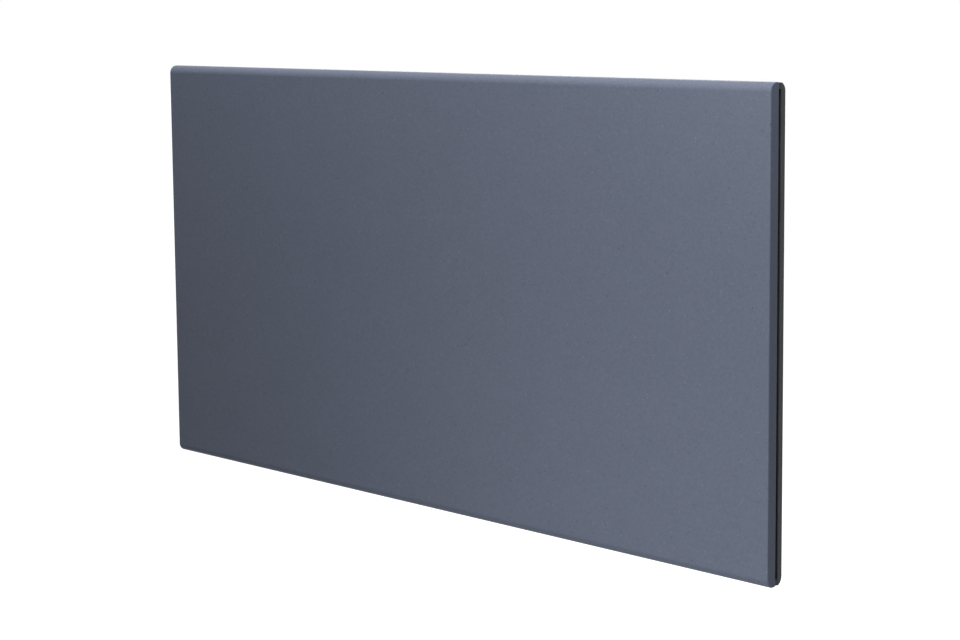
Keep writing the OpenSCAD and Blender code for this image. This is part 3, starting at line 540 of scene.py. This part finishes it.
def galvanised(name, colour, size, contrast, rub_amount):
    """Zinc-coated steel sheet with spangle and brighter edges."""
    finish, tree, shader, place = start_finish(name, metallic=0.9)
    spangle = use(tree, zinc_spangle, Place=place, Colour=colour, Contrast=contrast, Size=size)
    crystals = spangle.outputs["Colour"]
    grain = use(tree, fine_grain, Place=place, Colour=crystals, Fineness=420.0, Contrast=0.12)
    rub = use(tree, edge_rub, Place=place, Width=0.0006, Amount=rub_amount)
    surface = blend_colours(tree, rub.outputs["Mask"], grain.outputs["Colour"], RUBBED_ZINC)
    tree.links.new(surface, shader.inputs["Base Color"])
    tree.links.new(spangle.outputs["Roughness"], shader.inputs["Roughness"])
    add_bump(tree, shader, grain.outputs["Height"], METAL_BUMP, SKIN_RELIEF)
    return finish


def drawn_metal(name, colour, contrast, stretch, dust=0.0):
    """Rolled or drawn metal with its grain along one axis."""
    finish, tree, shader, place = start_finish(name, metallic=0.95, stretch=stretch)
    grain = use(tree, drawn_grain, Place=place, Colour=colour, Contrast=contrast)
    surface = grain.outputs["Colour"]
    if dust:
        surface = use(tree, settled_dust, Place=place, Colour=surface, Amount=dust).outputs["Colour"]
    tree.links.new(surface, shader.inputs["Base Color"])
    tree.links.new(grain.outputs["Roughness"], shader.inputs["Roughness"])
    add_bump(tree, shader, grain.outputs["Height"], METAL_BUMP, SKIN_RELIEF)
    return finish


panel_paint = paint(
    "panel_paint", PANEL_BLUE, fineness=650.0, contrast=0.36, roughness=0.6, specular=0.08,
    bump=0.25, flecks=0.6,
)
casing_paint = paint(
    "casing_paint", CASING_GREY, fineness=900.0, contrast=0.25, roughness=0.55, specular=0.2,
    bump=0.3, flecks=0.5, rub_amount=0.15, dust=0.12,
)
seal_rubber = moulded(
    "seal_rubber", shade(70, 73, 77), roughness=0.75, fineness=700.0, contrast=0.3, bump=0.4,
    specular=0.2,
)
grommet_rubber = moulded(
    "grommet_rubber", shade(24, 24, 25), roughness=0.6, fineness=500.0, contrast=0.3, bump=0.3,
)
zinc_steel = galvanised("zinc_steel", shade(168, 171, 174), size=900.0, contrast=0.1, rub_amount=0.4)
bracket_steel = galvanised(
    "bracket_steel", shade(150, 154, 158), size=150.0, contrast=0.28, rub_amount=0.5,
)
shield_aluminium = drawn_metal(
    "shield_aluminium", shade(196, 198, 200), contrast=0.2, stretch=(0.3, 20, 20),
)
fin_aluminium = drawn_metal(
    "fin_aluminium", shade(186, 188, 190), contrast=0.3, stretch=(20, 20, 1), dust=0.25,
)
sheath_steel = drawn_metal("sheath_steel", shade(120, 112, 104), contrast=0.35, stretch=(1, 20, 20))
bush_ceramic = moulded(
    "bush_ceramic", shade(226, 221, 208), roughness=0.35, fineness=300.0, contrast=0.08, specular=0.6,
)
dark_plastic = moulded("dark_plastic", shade(40, 42, 45), roughness=0.55, dust=0.08)
white_plastic = moulded("white_plastic", shade(214, 214, 209), roughness=0.45)
button_plastic = moulded(
    "button_plastic", shade(150, 153, 157), roughness=0.4, fineness=1200.0, contrast=0.06,
)
lead_brown = moulded("lead_brown", shade(104, 62, 38), roughness=0.45, fineness=1500.0)
lead_blue = moulded("lead_blue", shade(40, 88, 158), roughness=0.45, fineness=1500.0)
lead_white = moulded("lead_white", shade(218, 214, 200), roughness=0.6, fineness=1500.0, contrast=0.3)
relay_blue = moulded("relay_blue", shade(52, 96, 170), roughness=0.35)
brass_earth = drawn_metal("brass_earth", shade(190, 150, 84), contrast=0.2, stretch=(6, 6, 6))


def display_glass():
    """Dark gloss window with a faint smoked tint and a few hairline wipes."""
    finish, tree, shader, place = start_finish("window_gloss", roughness=0.08)
    grain = use(tree, fine_grain, Place=place, Colour=shade(16, 18, 21), Fineness=60.0, Contrast=0.3)
    wipes = tree.nodes.new("ShaderNodeMapRange")
    wipes.inputs["To Min"].default_value = 0.05
    wipes.inputs["To Max"].default_value = 0.16
    tree.links.new(grain.outputs["Height"], wipes.inputs["Value"])
    tree.links.new(wipes.outputs["Result"], shader.inputs["Roughness"])
    tree.links.new(grain.outputs["Colour"], shader.inputs["Base Color"])
    return finish


def circuit_green():
    """Solder mask over copper tracks."""
    finish, tree, shader, place = start_finish("board_green", roughness=0.3)
    tracks = tree.nodes.new("ShaderNodeTexBrick")
    tracks.inputs["Scale"].default_value = 60.0
    tracks.inputs["Color1"].default_value = shade(38, 92, 58)
    tracks.inputs["Color2"].default_value = shade(34, 84, 52)
    tracks.inputs["Mortar"].default_value = shade(70, 130, 84)
    tracks.inputs["Mortar Size"].default_value = 0.03
    tree.links.new(place, tracks.inputs["Vector"])
    pattern = tracks.outputs["Color"]
    grain = use(tree, fine_grain, Place=place, Colour=pattern, Fineness=500.0, Contrast=0.15)
    tree.links.new(grain.outputs["Colour"], shader.inputs["Base Color"])
    add_bump(tree, shader, tracks.outputs["Fac"], TRACK_BUMP, TRACK_RELIEF)
    return finish


window_gloss = display_glass()
board_green = circuit_green()
rocker_red = moulded("rocker_red", shade(168, 34, 30), roughness=0.35, contrast=0.08)

# The finish of each material slot in the record
FINISH_OF_SLOT = {
    "panel_paint": panel_paint, "casing_paint": casing_paint, "seal_rubber": seal_rubber,
    "zinc_steel": zinc_steel, "bracket_steel": bracket_steel, "shield_aluminium": shield_aluminium,
    "fin_aluminium": fin_aluminium, "sheath_steel": sheath_steel, "bush_ceramic": bush_ceramic,
    "dark_plastic": dark_plastic, "white_plastic": white_plastic, "button_plastic": button_plastic,
    "rocker_red": rocker_red, "window_gloss": window_gloss, "board_green": board_green,
    "relay_blue": relay_blue, "brass_earth": brass_earth, "lead_brown": lead_brown,
    "lead_blue": lead_blue, "lead_white": lead_white, "grommet_rubber": grommet_rubber,
}

# Every carried-over node takes the finish of its slot in the record
for part in frame["record"]["subparts"]:
    carried = nodes[part["node"]]
    carried.data.materials.clear()
    carried.data.materials.append(FINISH_OF_SLOT[part["material_slot"]])


# Front panel: sheet rolled over along its top and bottom, with folded flat ends and a hem behind
SHEET = 0.001
EDGE_RADIUS = 0.007
EDGE_STEPS = 12
FOLD_RADIUS = 0.0008
FOLD_STEPS = 3
HEM_WIDTH = 0.018
HEM_ROLL = 0.0008
HEM_STEPS = 3
OUTER_STRIP = 0.002


def make_front_panel():
    panel = block_between("front_panel", panel_low, panel_high)
    width = panel_high.x - panel_low.x
    height = panel_high.z - panel_low.z
    open_up(panel)
    choose_edges(panel, lambda a, b: max(a.y, b.y) < panel_low.y + NEAR and abs(a.x - b.x) > width / 2)
    round_edges(EDGE_RADIUS, EDGE_STEPS)
    choose_faces(panel, lambda centre, normal: normal.y > SQUARE_ON)
    bpy.ops.mesh.delete(type="FACE")

    def end_fold(a, b):
        same_end = abs(a.x - b.x) < NEAR and min(abs(a.x), abs(b.x)) > width / 2 - NEAR
        return same_end and min(a.y, b.y) < panel_high.y - NEAR

    choose_edges(panel, end_fold)
    round_edges(FOLD_RADIUS, FOLD_STEPS)
    choose_edges(panel, lambda a, b: min(a.y, b.y) > panel_high.y - NEAR)
    pull((0, 0, 0))
    narrower = (width - 2 * HEM_WIDTH) / width
    lower = (height - 2 * HEM_WIDTH) / height
    resize((narrower, 1, lower), (0, panel_high.y, 0))

    def outer_back_edge(a, b):
        if min(a.y, b.y) < panel_high.y - NEAR:
            return False
        outer_x = width / 2 - OUTER_STRIP
        outer_z = height / 2 - OUTER_STRIP
        return all(abs(place.x) > outer_x or abs(place.z) > outer_z for place in (a, b))

    choose_edges(panel, outer_back_edge)
    round_edges(HEM_ROLL, HEM_STEPS)
    close_up()
    right_way_out(panel)
    only(panel)
    bpy.ops.object.modifier_add(type="SOLIDIFY")
    wall = panel.modifiers[-1]
    wall.thickness = SHEET
    wall.offset = -1
    bpy.ops.object.modifier_apply(modifier=wall.name)
    finish_off(panel, "heater", "panel_paint", ["front_cover"])
    flatten_shading(panel)


make_front_panel()


# Edges of the casing's rim, turned forward, that close the shadow gap along its top and bottom
FLANGE_HEIGHT = 0.0045
FLANGE_INSET = 0.0006
FLANGE_ROUND = 0.0009
FLANGE_STEPS = 4


def make_gap_flange(name, side):
    outer = side * (panel_high.z - FLANGE_INSET)
    inner = outer - side * FLANGE_HEIGHT
    end = panel_high.x - FLANGE_INSET
    flange = block_between(
        name,
        (-end, panel_high.y, min(outer, inner)),
        (end, casing_low.y, max(outer, inner)),
    )

    def long_outer_edge(a, b):
        return min(side * a.z, side * b.z) > side * outer - NEAR and abs(a.x - b.x) > end

    open_up(flange)
    choose_edges(flange, long_outer_edge)
    round_edges(FLANGE_ROUND, FLANGE_STEPS)
    close_up()
    right_way_out(flange)
    finish_off(flange, "heater", "casing_paint")


make_gap_flange("gap_flange_top", 1)
make_gap_flange("gap_flange_bottom", -1)


# Pressed ribs that stiffen the casing's back. A place is both ends along the width, and the height
RIB_HEIGHT = 0.0013
RIB_WIDTH = 0.012
RIB_SINK = 0.0002
RIB_END_ROUND = RIB_WIDTH * 0.49
RIB_END_STEPS = 8
RIB_CROWN_ROUND = RIB_HEIGHT * 0.8
RIB_CROWN_STEPS = 3
RIB_PLACES = [
    (-0.128, 0.128, 0.036), (-0.128, 0.128, 0.0), (-0.128, 0.128, -0.036),
    (-0.290, -0.186, 0.060), (-0.290, -0.186, 0.0), (-0.290, -0.186, -0.060),
]


def make_rib(name, from_x, to_x, z):
    top = casing_high.y + RIB_HEIGHT
    rib = block_between(
        name,
        (from_x, casing_high.y - RIB_SINK, z - RIB_WIDTH / 2),
        (to_x, top, z + RIB_WIDTH / 2),
    )
    open_up(rib)
    choose_edges(rib, lambda a, b: abs(a.y - b.y) > RIB_HEIGHT / 2)
    round_edges(RIB_END_ROUND, RIB_END_STEPS)
    choose_edges(rib, lambda a, b: min(a.y, b.y) > top - NEAR)
    round_edges(RIB_CROWN_ROUND, RIB_CROWN_STEPS)
    close_up()
    right_way_out(rib)
    finish_off(rib, "heater", "casing_paint")


for number, rib_place in enumerate(RIB_PLACES, start=1):
    make_rib("casing_rib_%d" % number, *rib_place)


# Pan-head screws with a cross recess, driven from behind through the rim
SCREW_HEAD_RADIUS = 0.0032
SCREW_HEAD_HEIGHT = 0.002
SCREW_SHANK_RADIUS = 0.0016
SCREW_TIP = 0.001
SCREW_TIP_SHARE = 0.6
SCREW_SIDES = 24
RECESS_DEPTH = 0.0011
RECESS_REACH = 0.0019
RECESS_HALF_WIDTH = 0.00033
RECESS_CLEAR = 0.001

# Crown of the head: distance below its top, and radius
SCREW_CROWN = [(0.0011, SCREW_HEAD_RADIUS), (0.0004, 0.0028), (0, 0.0019)]

# Where the screws sit, as shares of the panel's height on its sides and of its width along its rows
SIDE_SCREW_SHARE = 0.25
ROW_SCREW_SHARES = (-0.42, -0.16, 0.16, 0.42)
screws_low, screws_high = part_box("cover_screws")


def make_cover_screw(name, x, z):
    head_back = screws_high.y
    length = head_back - screws_low.y
    neck = length - SCREW_HEAD_HEIGHT
    steps = [(0, SCREW_SHANK_RADIUS * SCREW_TIP_SHARE), (SCREW_TIP, SCREW_SHANK_RADIUS),
             (neck, SCREW_SHANK_RADIUS), (neck, SCREW_HEAD_RADIUS)]
    steps += [(length - below, radius) for below, radius in SCREW_CROWN]
    screw = turned(name, (x, screws_low.y, z), (0, 1, 0), steps, sides=SCREW_SIDES)
    for half_x, half_z in ((RECESS_REACH, RECESS_HALF_WIDTH), (RECESS_HALF_WIDTH, RECESS_REACH)):
        cutter = block_between(
            "recess",
            (x - half_x, head_back - RECESS_DEPTH, z - half_z),
            (x + half_x, head_back + RECESS_CLEAR, z + half_z),
        )
        only(screw)
        bpy.ops.object.modifier_add(type="BOOLEAN")
        cut = screw.modifiers[-1]
        cut.operation = "DIFFERENCE"
        cut.solver = "EXACT"
        cut.object = cutter
        bpy.ops.object.modifier_apply(modifier=cut.name)
        bpy.data.objects.remove(cutter)
    return screw


def place_cover_screws():
    side_x = screws_low.x + SCREW_HEAD_RADIUS
    side_z = SIDE_SCREW_SHARE * (panel_high.z - panel_low.z)
    row_z = screws_high.z - SCREW_HEAD_RADIUS
    width = panel_high.x - panel_low.x
    places = [(side * side_x, end * side_z) for side in (1, -1) for end in (1, -1)]
    places += [(share * width, side * row_z) for share in ROW_SCREW_SHARES for side in (1, -1)]
    first_x, first_z = places[0]
    first = make_cover_screw("cover_screw_1", first_x, first_z)
    offsets = [(x - first_x, 0, z - first_z) for x, z in places[1:]]
    finish_set(first, "cover_screw", offsets, "heater", "zinc_steel", ["cover_screws"])


place_cover_screws()


# Rubber feet that keep the heater upright against the wall: distance from the casing, and radius
FOOT_RADIUS = 0.009
FOOT_STEPS = [
    (0, FOOT_RADIUS), (0.003, FOOT_RADIUS), (0.0042, 0.0078), (0.0150, 0.0070), (0.0170, 0.0086),
    (0.0205, 0.0088), (0.0217, 0.0076), (0.0217, 0.0048), (0.0190, 0.0044),
]
FOOT_SIDES = 40


def make_feet():
    low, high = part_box("wall_bumpers")
    x = high.x - FOOT_RADIUS
    z = (low.z + high.z) / 2
    foot = turned("wall_foot_right", (x, low.y, z), (0, 1, 0), FOOT_STEPS, sides=FOOT_SIDES)
    other = twin(foot, "wall_foot_left", (-2 * x, 0, 0))
    for piece in (foot, other):
        finish_off(piece, "heater", "seal_rubber", ["wall_bumpers"])


make_feet()


# Cable gland with a gripped cap: distance below its top, and radius
GLAND_BORE = 0.0042
GLAND_STEM = 0.008
GLAND_TIP = 0.0064
GLAND_STEPS = [
    (0, GLAND_STEM), (0.012, GLAND_STEM), (0.012, 0.011), (0.0145, 0.011), (0.0145, 0.0102),
    (0.0195, 0.0100), (0.0212, 0.0085), (0.022, GLAND_TIP),
]
GLAND_SIDES = 48
ON_AXIS = 0.001

# Grips of the cap: between which distances below the top, outside which radius, and how wide and deep
GLAND_GRIP_FROM = 0.0144
GLAND_GRIP_TO = 0.0196
GLAND_GRIP_OUTSIDE = 0.0085
GLAND_GRIP_EDGE = 0.0002
GLAND_GRIP_DEPTH = 0.0005
GLAND_GRIP_LEAN = 0.3


def make_gland():
    x = (gland_low.x + gland_high.x) / 2
    top = (x, MID_DEPTH, gland_high.z)
    gland = turned("gland_cap", top, (0, 0, -1), GLAND_STEPS, sides=GLAND_SIDES)

    def from_axis(place):
        return Vector((place.x - x, place.y - MID_DEPTH))

    def is_end(centre, normal, end_z):
        flat = abs(normal.z) > SQUARE_ON and abs(centre.z - end_z) < NEAR
        return flat and from_axis(centre).length < ON_AXIS

    def is_either_end(centre, normal):
        return is_end(centre, normal, gland_high.z) or is_end(centre, normal, gland_low.z)

    open_up(gland)
    for end_z, radius in ((gland_high.z, GLAND_STEM), (gland_low.z, GLAND_TIP)):
        choose_faces(gland, lambda centre, normal: is_end(centre, normal, end_z))
        bpy.ops.mesh.inset(thickness=radius - GLAND_BORE)
    choose_faces(gland, is_either_end)
    bpy.ops.mesh.delete(type="FACE")
    rim = GLAND_BORE + 2 * NEAR
    choose_edges(gland, lambda a, b: max(from_axis(a).length, from_axis(b).length) < rim)
    bpy.ops.mesh.bridge_edge_loops()

    def every_other_grip(centre, normal):
        if not gland_high.z - GLAND_GRIP_TO < centre.z < gland_high.z - GLAND_GRIP_FROM:
            return False
        if abs(normal.z) > GLAND_GRIP_LEAN:
            return False
        outward = from_axis(centre)
        if outward.length < GLAND_GRIP_OUTSIDE:
            return False
        turn = math.atan2(outward.y, outward.x) + math.pi
        return round(turn / (2 * math.pi / GLAND_SIDES) - 0.5) % 2 == 0

    choose_faces(gland, every_other_grip)
    bpy.ops.mesh.inset(thickness=GLAND_GRIP_EDGE, depth=-GLAND_GRIP_DEPTH, use_individual=True)
    close_up()
    right_way_out(gland)
    finish_off(gland, "heater", "dark_plastic", ["cable_gland"])


make_gland()


# Push buttons: the flange that holds each, and its rounded crown as steps below the top and inward
BUTTON_FLANGE_WIDTH = 0.0013
BUTTON_FLANGE_TOP = 0.0014
BUTTON_CROWN = [(0.0008, 0), (0.00035, 0.0002), (0.0001, 0.0006), (0, 0.0011), (0.0003, 0.0024)]
BUTTON_SIDES = 40

# Raised marks on the buttons
MARK_HEIGHT = 0.0004
MARK_HALF_LENGTH = 0.0012
MARK_HALF_WIDTH = 0.00025
MARK_END_ROUND = 0.00022
MARK_TOP_ROUND = 0.0001
PLUS_TOP_ROUND = 0.00008
DOT_STEPS = [
    (0, 0.0009), (0.00025, 0.0009), (MARK_HEIGHT, 0.0007), (MARK_HEIGHT, 0.0004), (0.0002, 0.0003),
]


def make_button(name, mark_maker):
    low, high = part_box(name)
    x = (low.x + high.x) / 2
    radius = (high.x - low.x) / 2
    cap_radius = radius - BUTTON_FLANGE_WIDTH
    tall = high.z - low.z
    steps = [(0, radius), (BUTTON_FLANGE_TOP, radius), (BUTTON_FLANGE_TOP, cap_radius)]
    steps += [(tall - below, cap_radius - inward) for below, inward in BUTTON_CROWN]
    cap = turned(name + "_cap", (x, MID_DEPTH, low.z), (0, 0, 1), steps, sides=BUTTON_SIDES)
    finish_off(cap, name, "button_plastic", [name])
    mark = mark_maker(name + "_mark", x, high.z - MARK_HEIGHT)
    finish_off(mark, name, "dark_plastic")


def mark_block(name, x, z, half_length):
    return block_between(
        name,
        (x - half_length, MID_DEPTH - MARK_HALF_WIDTH, z),
        (x + half_length, MID_DEPTH + MARK_HALF_WIDTH, z + MARK_HEIGHT),
    )


def finish_mark(mark, z, top_round):
    choose_edges(mark, lambda a, b: min(a.z, b.z) > z + MARK_HEIGHT - NEAR)
    round_edges(top_round, segments=2)
    close_up()
    right_way_out(mark)
    return mark


def bar_mark(name, x, z):
    mark = mark_block(name, x, z, MARK_HALF_LENGTH)
    open_up(mark)
    choose_edges(mark, lambda a, b: abs(a.z - b.z) > MARK_HEIGHT / 2)
    round_edges(MARK_END_ROUND, segments=4)
    return finish_mark(mark, z, MARK_TOP_ROUND)


def plus_mark(name, x, z):
    mark = mark_block(name, x, z, MARK_HALF_WIDTH)
    middle = Vector((x, MID_DEPTH, z + MARK_HEIGHT / 2))
    open_up(mark)
    for way in (Vector((1, 0, 0)), Vector((-1, 0, 0)), Vector((0, 1, 0)), Vector((0, -1, 0))):
        choose_face_at(mark, middle + way * MARK_HALF_WIDTH, way)
        pull(way * (MARK_HALF_LENGTH - MARK_HALF_WIDTH))
    return finish_mark(mark, z, PLUS_TOP_ROUND)


def dot_mark(name, x, z):
    return turned(name, (x, MID_DEPTH, z), (0, 0, 1), DOT_STEPS)


make_button("button_minus", bar_mark)
make_button("button_mode", dot_mark)
make_button("button_plus", plus_mark)


# Raised on and off marks on the mains rocker, whose face is a shallow V with its lower half upright
ROCKER_FACE_OUT = 0.0026
ROCKER_MARK_REACH = 0.0045
ROCKER_MARK_RAISE = 0.00015
ROCKER_BAR_WIDTH = 0.0005
ROCKER_BAR_LENGTH = 0.0032
ROCKER_BAR_ROUND = 0.00008
ROCKER_RING_STEPS = [
    (-0.0001, 0.0016), (0.00012, 0.0016), (ROCKER_MARK_RAISE, 0.00155), (ROCKER_MARK_RAISE, 0.00115),
    (0.00012, 0.0011), (-0.00008, 0.0011),
]


def make_rocker_marks():
    joint = next(each for each in frame["joints"] if each["name"] == "switch_rocker_tilt")
    lean = math.radians(joint["range_deg"][1])
    half_lean = Vector((math.cos(lean / 2), 0, -math.sin(lean / 2)))
    crease = Vector(joint["pos_m"]) + half_lean * ROCKER_FACE_OUT
    upper = crease + Vector((math.sin(lean), 0, math.cos(lean))) * ROCKER_MARK_REACH
    bpy.ops.object.select_all(action="DESELECT")
    bpy.ops.mesh.primitive_cube_add(size=1, location=upper, rotation=(0, lean, 0))
    bar = bpy.context.object
    bar.name = "rocker_on_mark"
    bar.scale = (2 * ROCKER_MARK_RAISE, ROCKER_BAR_WIDTH, ROCKER_BAR_LENGTH)
    settle(bar)
    open_up(bar)
    bpy.ops.mesh.select_all(action="SELECT")
    round_edges(ROCKER_BAR_ROUND, segments=2)
    close_up()
    right_way_out(bar)
    lower = crease - Vector((0, 0, ROCKER_MARK_REACH))
    ring = turned("rocker_off_mark", lower, (1, 0, 0), ROCKER_RING_STEPS)
    for mark in (bar, ring):
        finish_off(mark, "switch_rocker", "white_plastic")


make_rocker_marks()


# Domed rivets of the bracket: distance below the dome's top, and share of its radius
RIVET_RADIUS = 0.0036
RIVET_SHANK = 0.002
RIVET_DOME = [(0.0014, 1), (0.0010, 0.97), (0.0005, 0.8), (0.0001, 0.45), (0, 0.2)]


def make_rivets():
    low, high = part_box("crossbar_rivets")
    across = (low.x + RIVET_RADIUS, high.x - RIVET_RADIUS)
    corners = [(x, z) for x in across for z in (low.z + RIVET_RADIUS, high.z - RIVET_RADIUS)]
    tall = high.y - low.y
    steps = [(0, RIVET_SHANK), (tall - RIVET_DOME[0][0], RIVET_SHANK)]
    steps += [(tall - below, RIVET_RADIUS * share) for below, share in RIVET_DOME]
    x, z = corners[0]
    rivet = turned("bracket_rivet_1", (x, high.y, z), (0, -1, 0), steps)
    offsets = [(other_x - x, 0, other_z - z) for other_x, other_z in corners[1:]]
    finish_set(rivet, "bracket_rivet", offsets, "wall_bracket", "zinc_steel", ["crossbar_rivets"])


make_rivets()


# Room sensor with a rounded tip: distances below its top, then above its tip, and shares of its radius
SENSOR_TOP = [(0, 0.7), (0.0006, 1)]
SENSOR_TIP = [(0.0030, 1), (0.0015, 0.86), (0.0005, 0.55), (0, 0.15)]


def make_sensor():
    low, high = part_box("room_sensor")
    x = (low.x + high.x) / 2
    radius = (high.x - low.x) / 2
    tall = high.z - low.z
    steps = [(below, radius * share) for below, share in SENSOR_TOP]
    steps += [(tall - above, radius * share) for above, share in SENSOR_TIP]
    sensor = turned("sensor_cap", (x, MID_DEPTH, high.z), (0, 0, -1), steps)
    finish_off(sensor, "heater", "zinc_steel", ["room_sensor"])


make_sensor()


# Finger grips on the pull tabs of the latches
TAB_DEPTH = 0.012
TAB_GRIPS = 3
TAB_GRIP_FIRST = 0.005
TAB_GRIP_PITCH = 0.0032
TAB_GRIP_HALF_WIDTH = 0.0006
TAB_GRIP_END_GAP = 0.001
TAB_GRIP_LOW = 0.0018
TAB_GRIP_HIGH = 0.0027
TAB_GRIP_ROUND = 0.0004


def make_grips(name):
    low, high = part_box(name)
    side = 1 if low.x > 0 else -1
    inner = low.x if side > 0 else high.x
    for number in range(TAB_GRIPS):
        x = inner + side * (TAB_GRIP_FIRST + TAB_GRIP_PITCH * number)
        grip = block_between(
            "%s_grip_%d" % (name, number + 1),
            (x - TAB_GRIP_HALF_WIDTH, high.y - TAB_DEPTH + TAB_GRIP_END_GAP, low.z + TAB_GRIP_LOW),
            (x + TAB_GRIP_HALF_WIDTH, high.y - TAB_GRIP_END_GAP, low.z + TAB_GRIP_HIGH),
        )
        open_up(grip)
        choose_edges(grip, lambda a, b: min(a.z, b.z) > low.z + TAB_GRIP_HIGH - NEAR)
        round_edges(TAB_GRIP_ROUND, segments=3)
        close_up()
        right_way_out(grip)
        finish_off(grip, name, "dark_plastic")


make_grips("latch_left")
make_grips("latch_right")


# Studio: white floor and backdrop, level light, camera
def is_seen_ray(tree):
    """One for rays that look at the white around the object, and zero for those that light it."""
    rays = tree.nodes.new("ShaderNodeLightPath")
    seen = arithmetic(tree, "MAXIMUM", rays.outputs["Is Camera Ray"], rays.outputs["Is Glossy Ray"])
    return arithmetic(tree, "MAXIMUM", seen, rays.outputs["Is Transmission Ray"])


# Light of the world, and the floor's place, size, grey and the reach over which it turns white
WHITE = (1, 1, 1, 1)
WORLD_LEVEL = 0.07
FLOOR_DROP = 0.5
FLOOR_SIZE = 30
FLOOR_GREY = 0.5
FADE_FROM = 0.8
FADE_TO = 2.6
FLOOR_LEAST = 0.8


def set_world():
    world = bpy.data.worlds.new("studio")
    bpy.context.scene.world = world
    world.use_nodes = True
    tree = world.node_tree
    background = tree.nodes["Background"]
    background.inputs["Color"].default_value = WHITE
    seen = is_seen_ray(tree)
    level = arithmetic(tree, "MULTIPLY", seen, 1 - WORLD_LEVEL)
    tree.links.new(arithmetic(tree, "ADD", level, WORLD_LEVEL), background.inputs["Strength"])


def make_floor():
    z = cad_low.z - FLOOR_DROP
    bpy.ops.object.select_all(action="DESELECT")
    bpy.ops.mesh.primitive_plane_add(size=FLOOR_SIZE, location=(0, 0, z))
    floor = settle(bpy.context.object)
    floor.name = "floor"
    finish = bpy.data.materials.new("floor_white")
    finish.use_nodes = True
    tree = finish.node_tree
    shader = tree.nodes["Principled BSDF"]
    shader.inputs["Base Color"].default_value = (FLOOR_GREY, FLOOR_GREY, FLOOR_GREY, 1)
    shader.inputs["Roughness"].default_value = 0.9
    glow = tree.nodes.new("ShaderNodeEmission")
    glow.inputs["Color"].default_value = WHITE
    coordinates = tree.nodes.new("ShaderNodeTexCoord")
    reach = tree.nodes.new("ShaderNodeVectorMath")
    reach.operation = "LENGTH"
    tree.links.new(coordinates.outputs["Object"], reach.inputs[0])
    fade = tree.nodes.new("ShaderNodeMapRange")
    fade.inputs["From Min"].default_value = FADE_FROM
    fade.inputs["From Max"].default_value = FADE_TO
    fade.inputs["To Min"].default_value = FLOOR_LEAST
    fade.inputs["To Max"].default_value = 1.0
    tree.links.new(reach.outputs["Value"], fade.inputs["Value"])
    level = arithmetic(tree, "MULTIPLY", is_seen_ray(tree), fade.outputs["Result"])
    tree.links.new(level, glow.inputs["Strength"])
    both = tree.nodes.new("ShaderNodeAddShader")
    tree.links.new(shader.outputs[0], both.inputs[0])
    tree.links.new(glow.outputs[0], both.inputs[1])
    tree.links.new(both.outputs[0], tree.nodes["Material Output"].inputs["Surface"])
    floor.data.materials.append(finish)


# Each lamp's name, place, aim, width and height, and power in watts
LAMPS = [
    ("low_lamp", (0.37, -0.40, -0.255), (0.30, -0.08, -0.30), (0.73, 0.4), 1.15),
    ("high_lamp", (0.53, -0.40, 0.415), (0.30, -0.08, 0.29), (0.33, 0.4), 1.75),
    ("top_lamp", (-0.15, -0.40, 1.01), (0.08, -0.08, 0.18), (1.2, 0.19), 12.5),
    ("back_lamp", (-0.9, 1.5, 0.9), (0.0, 0.0, 0.0), (1.2, 1.2), 24.0),
]


def make_lamp(name, place, aim, size, power):
    data = bpy.data.lights.new(name, "AREA")
    data.shape = "RECTANGLE"
    data.size, data.size_y = size
    data.energy = power
    lamp = bpy.data.objects.new(name, data)
    bpy.context.scene.collection.objects.link(lamp)
    lamp.location = place
    lamp.rotation_euler = (Vector(aim) - Vector(place)).to_track_quat("-Z", "Y").to_euler()
    lamp.visible_camera = False


def set_camera():
    data = bpy.data.cameras.new("camera")
    data.sensor_width = SENSOR_WIDTH
    data.lens = FOCAL_PIXELS / IMAGE_WIDTH * SENSOR_WIDTH
    data.shift_y = -AXIS_ABOVE_MIDDLE / IMAGE_WIDTH
    camera = bpy.data.objects.new("camera", data)
    bpy.context.scene.collection.objects.link(camera)
    camera.location = CAMERA_PLACE
    camera.rotation_euler = [math.radians(angle) for angle in CAMERA_TURN]
    bpy.context.scene.camera = camera


set_world()
make_floor()
for lamp_row in LAMPS:
    make_lamp(*lamp_row)
set_camera()
bpy.context.scene.view_settings.view_transform = "Standard"
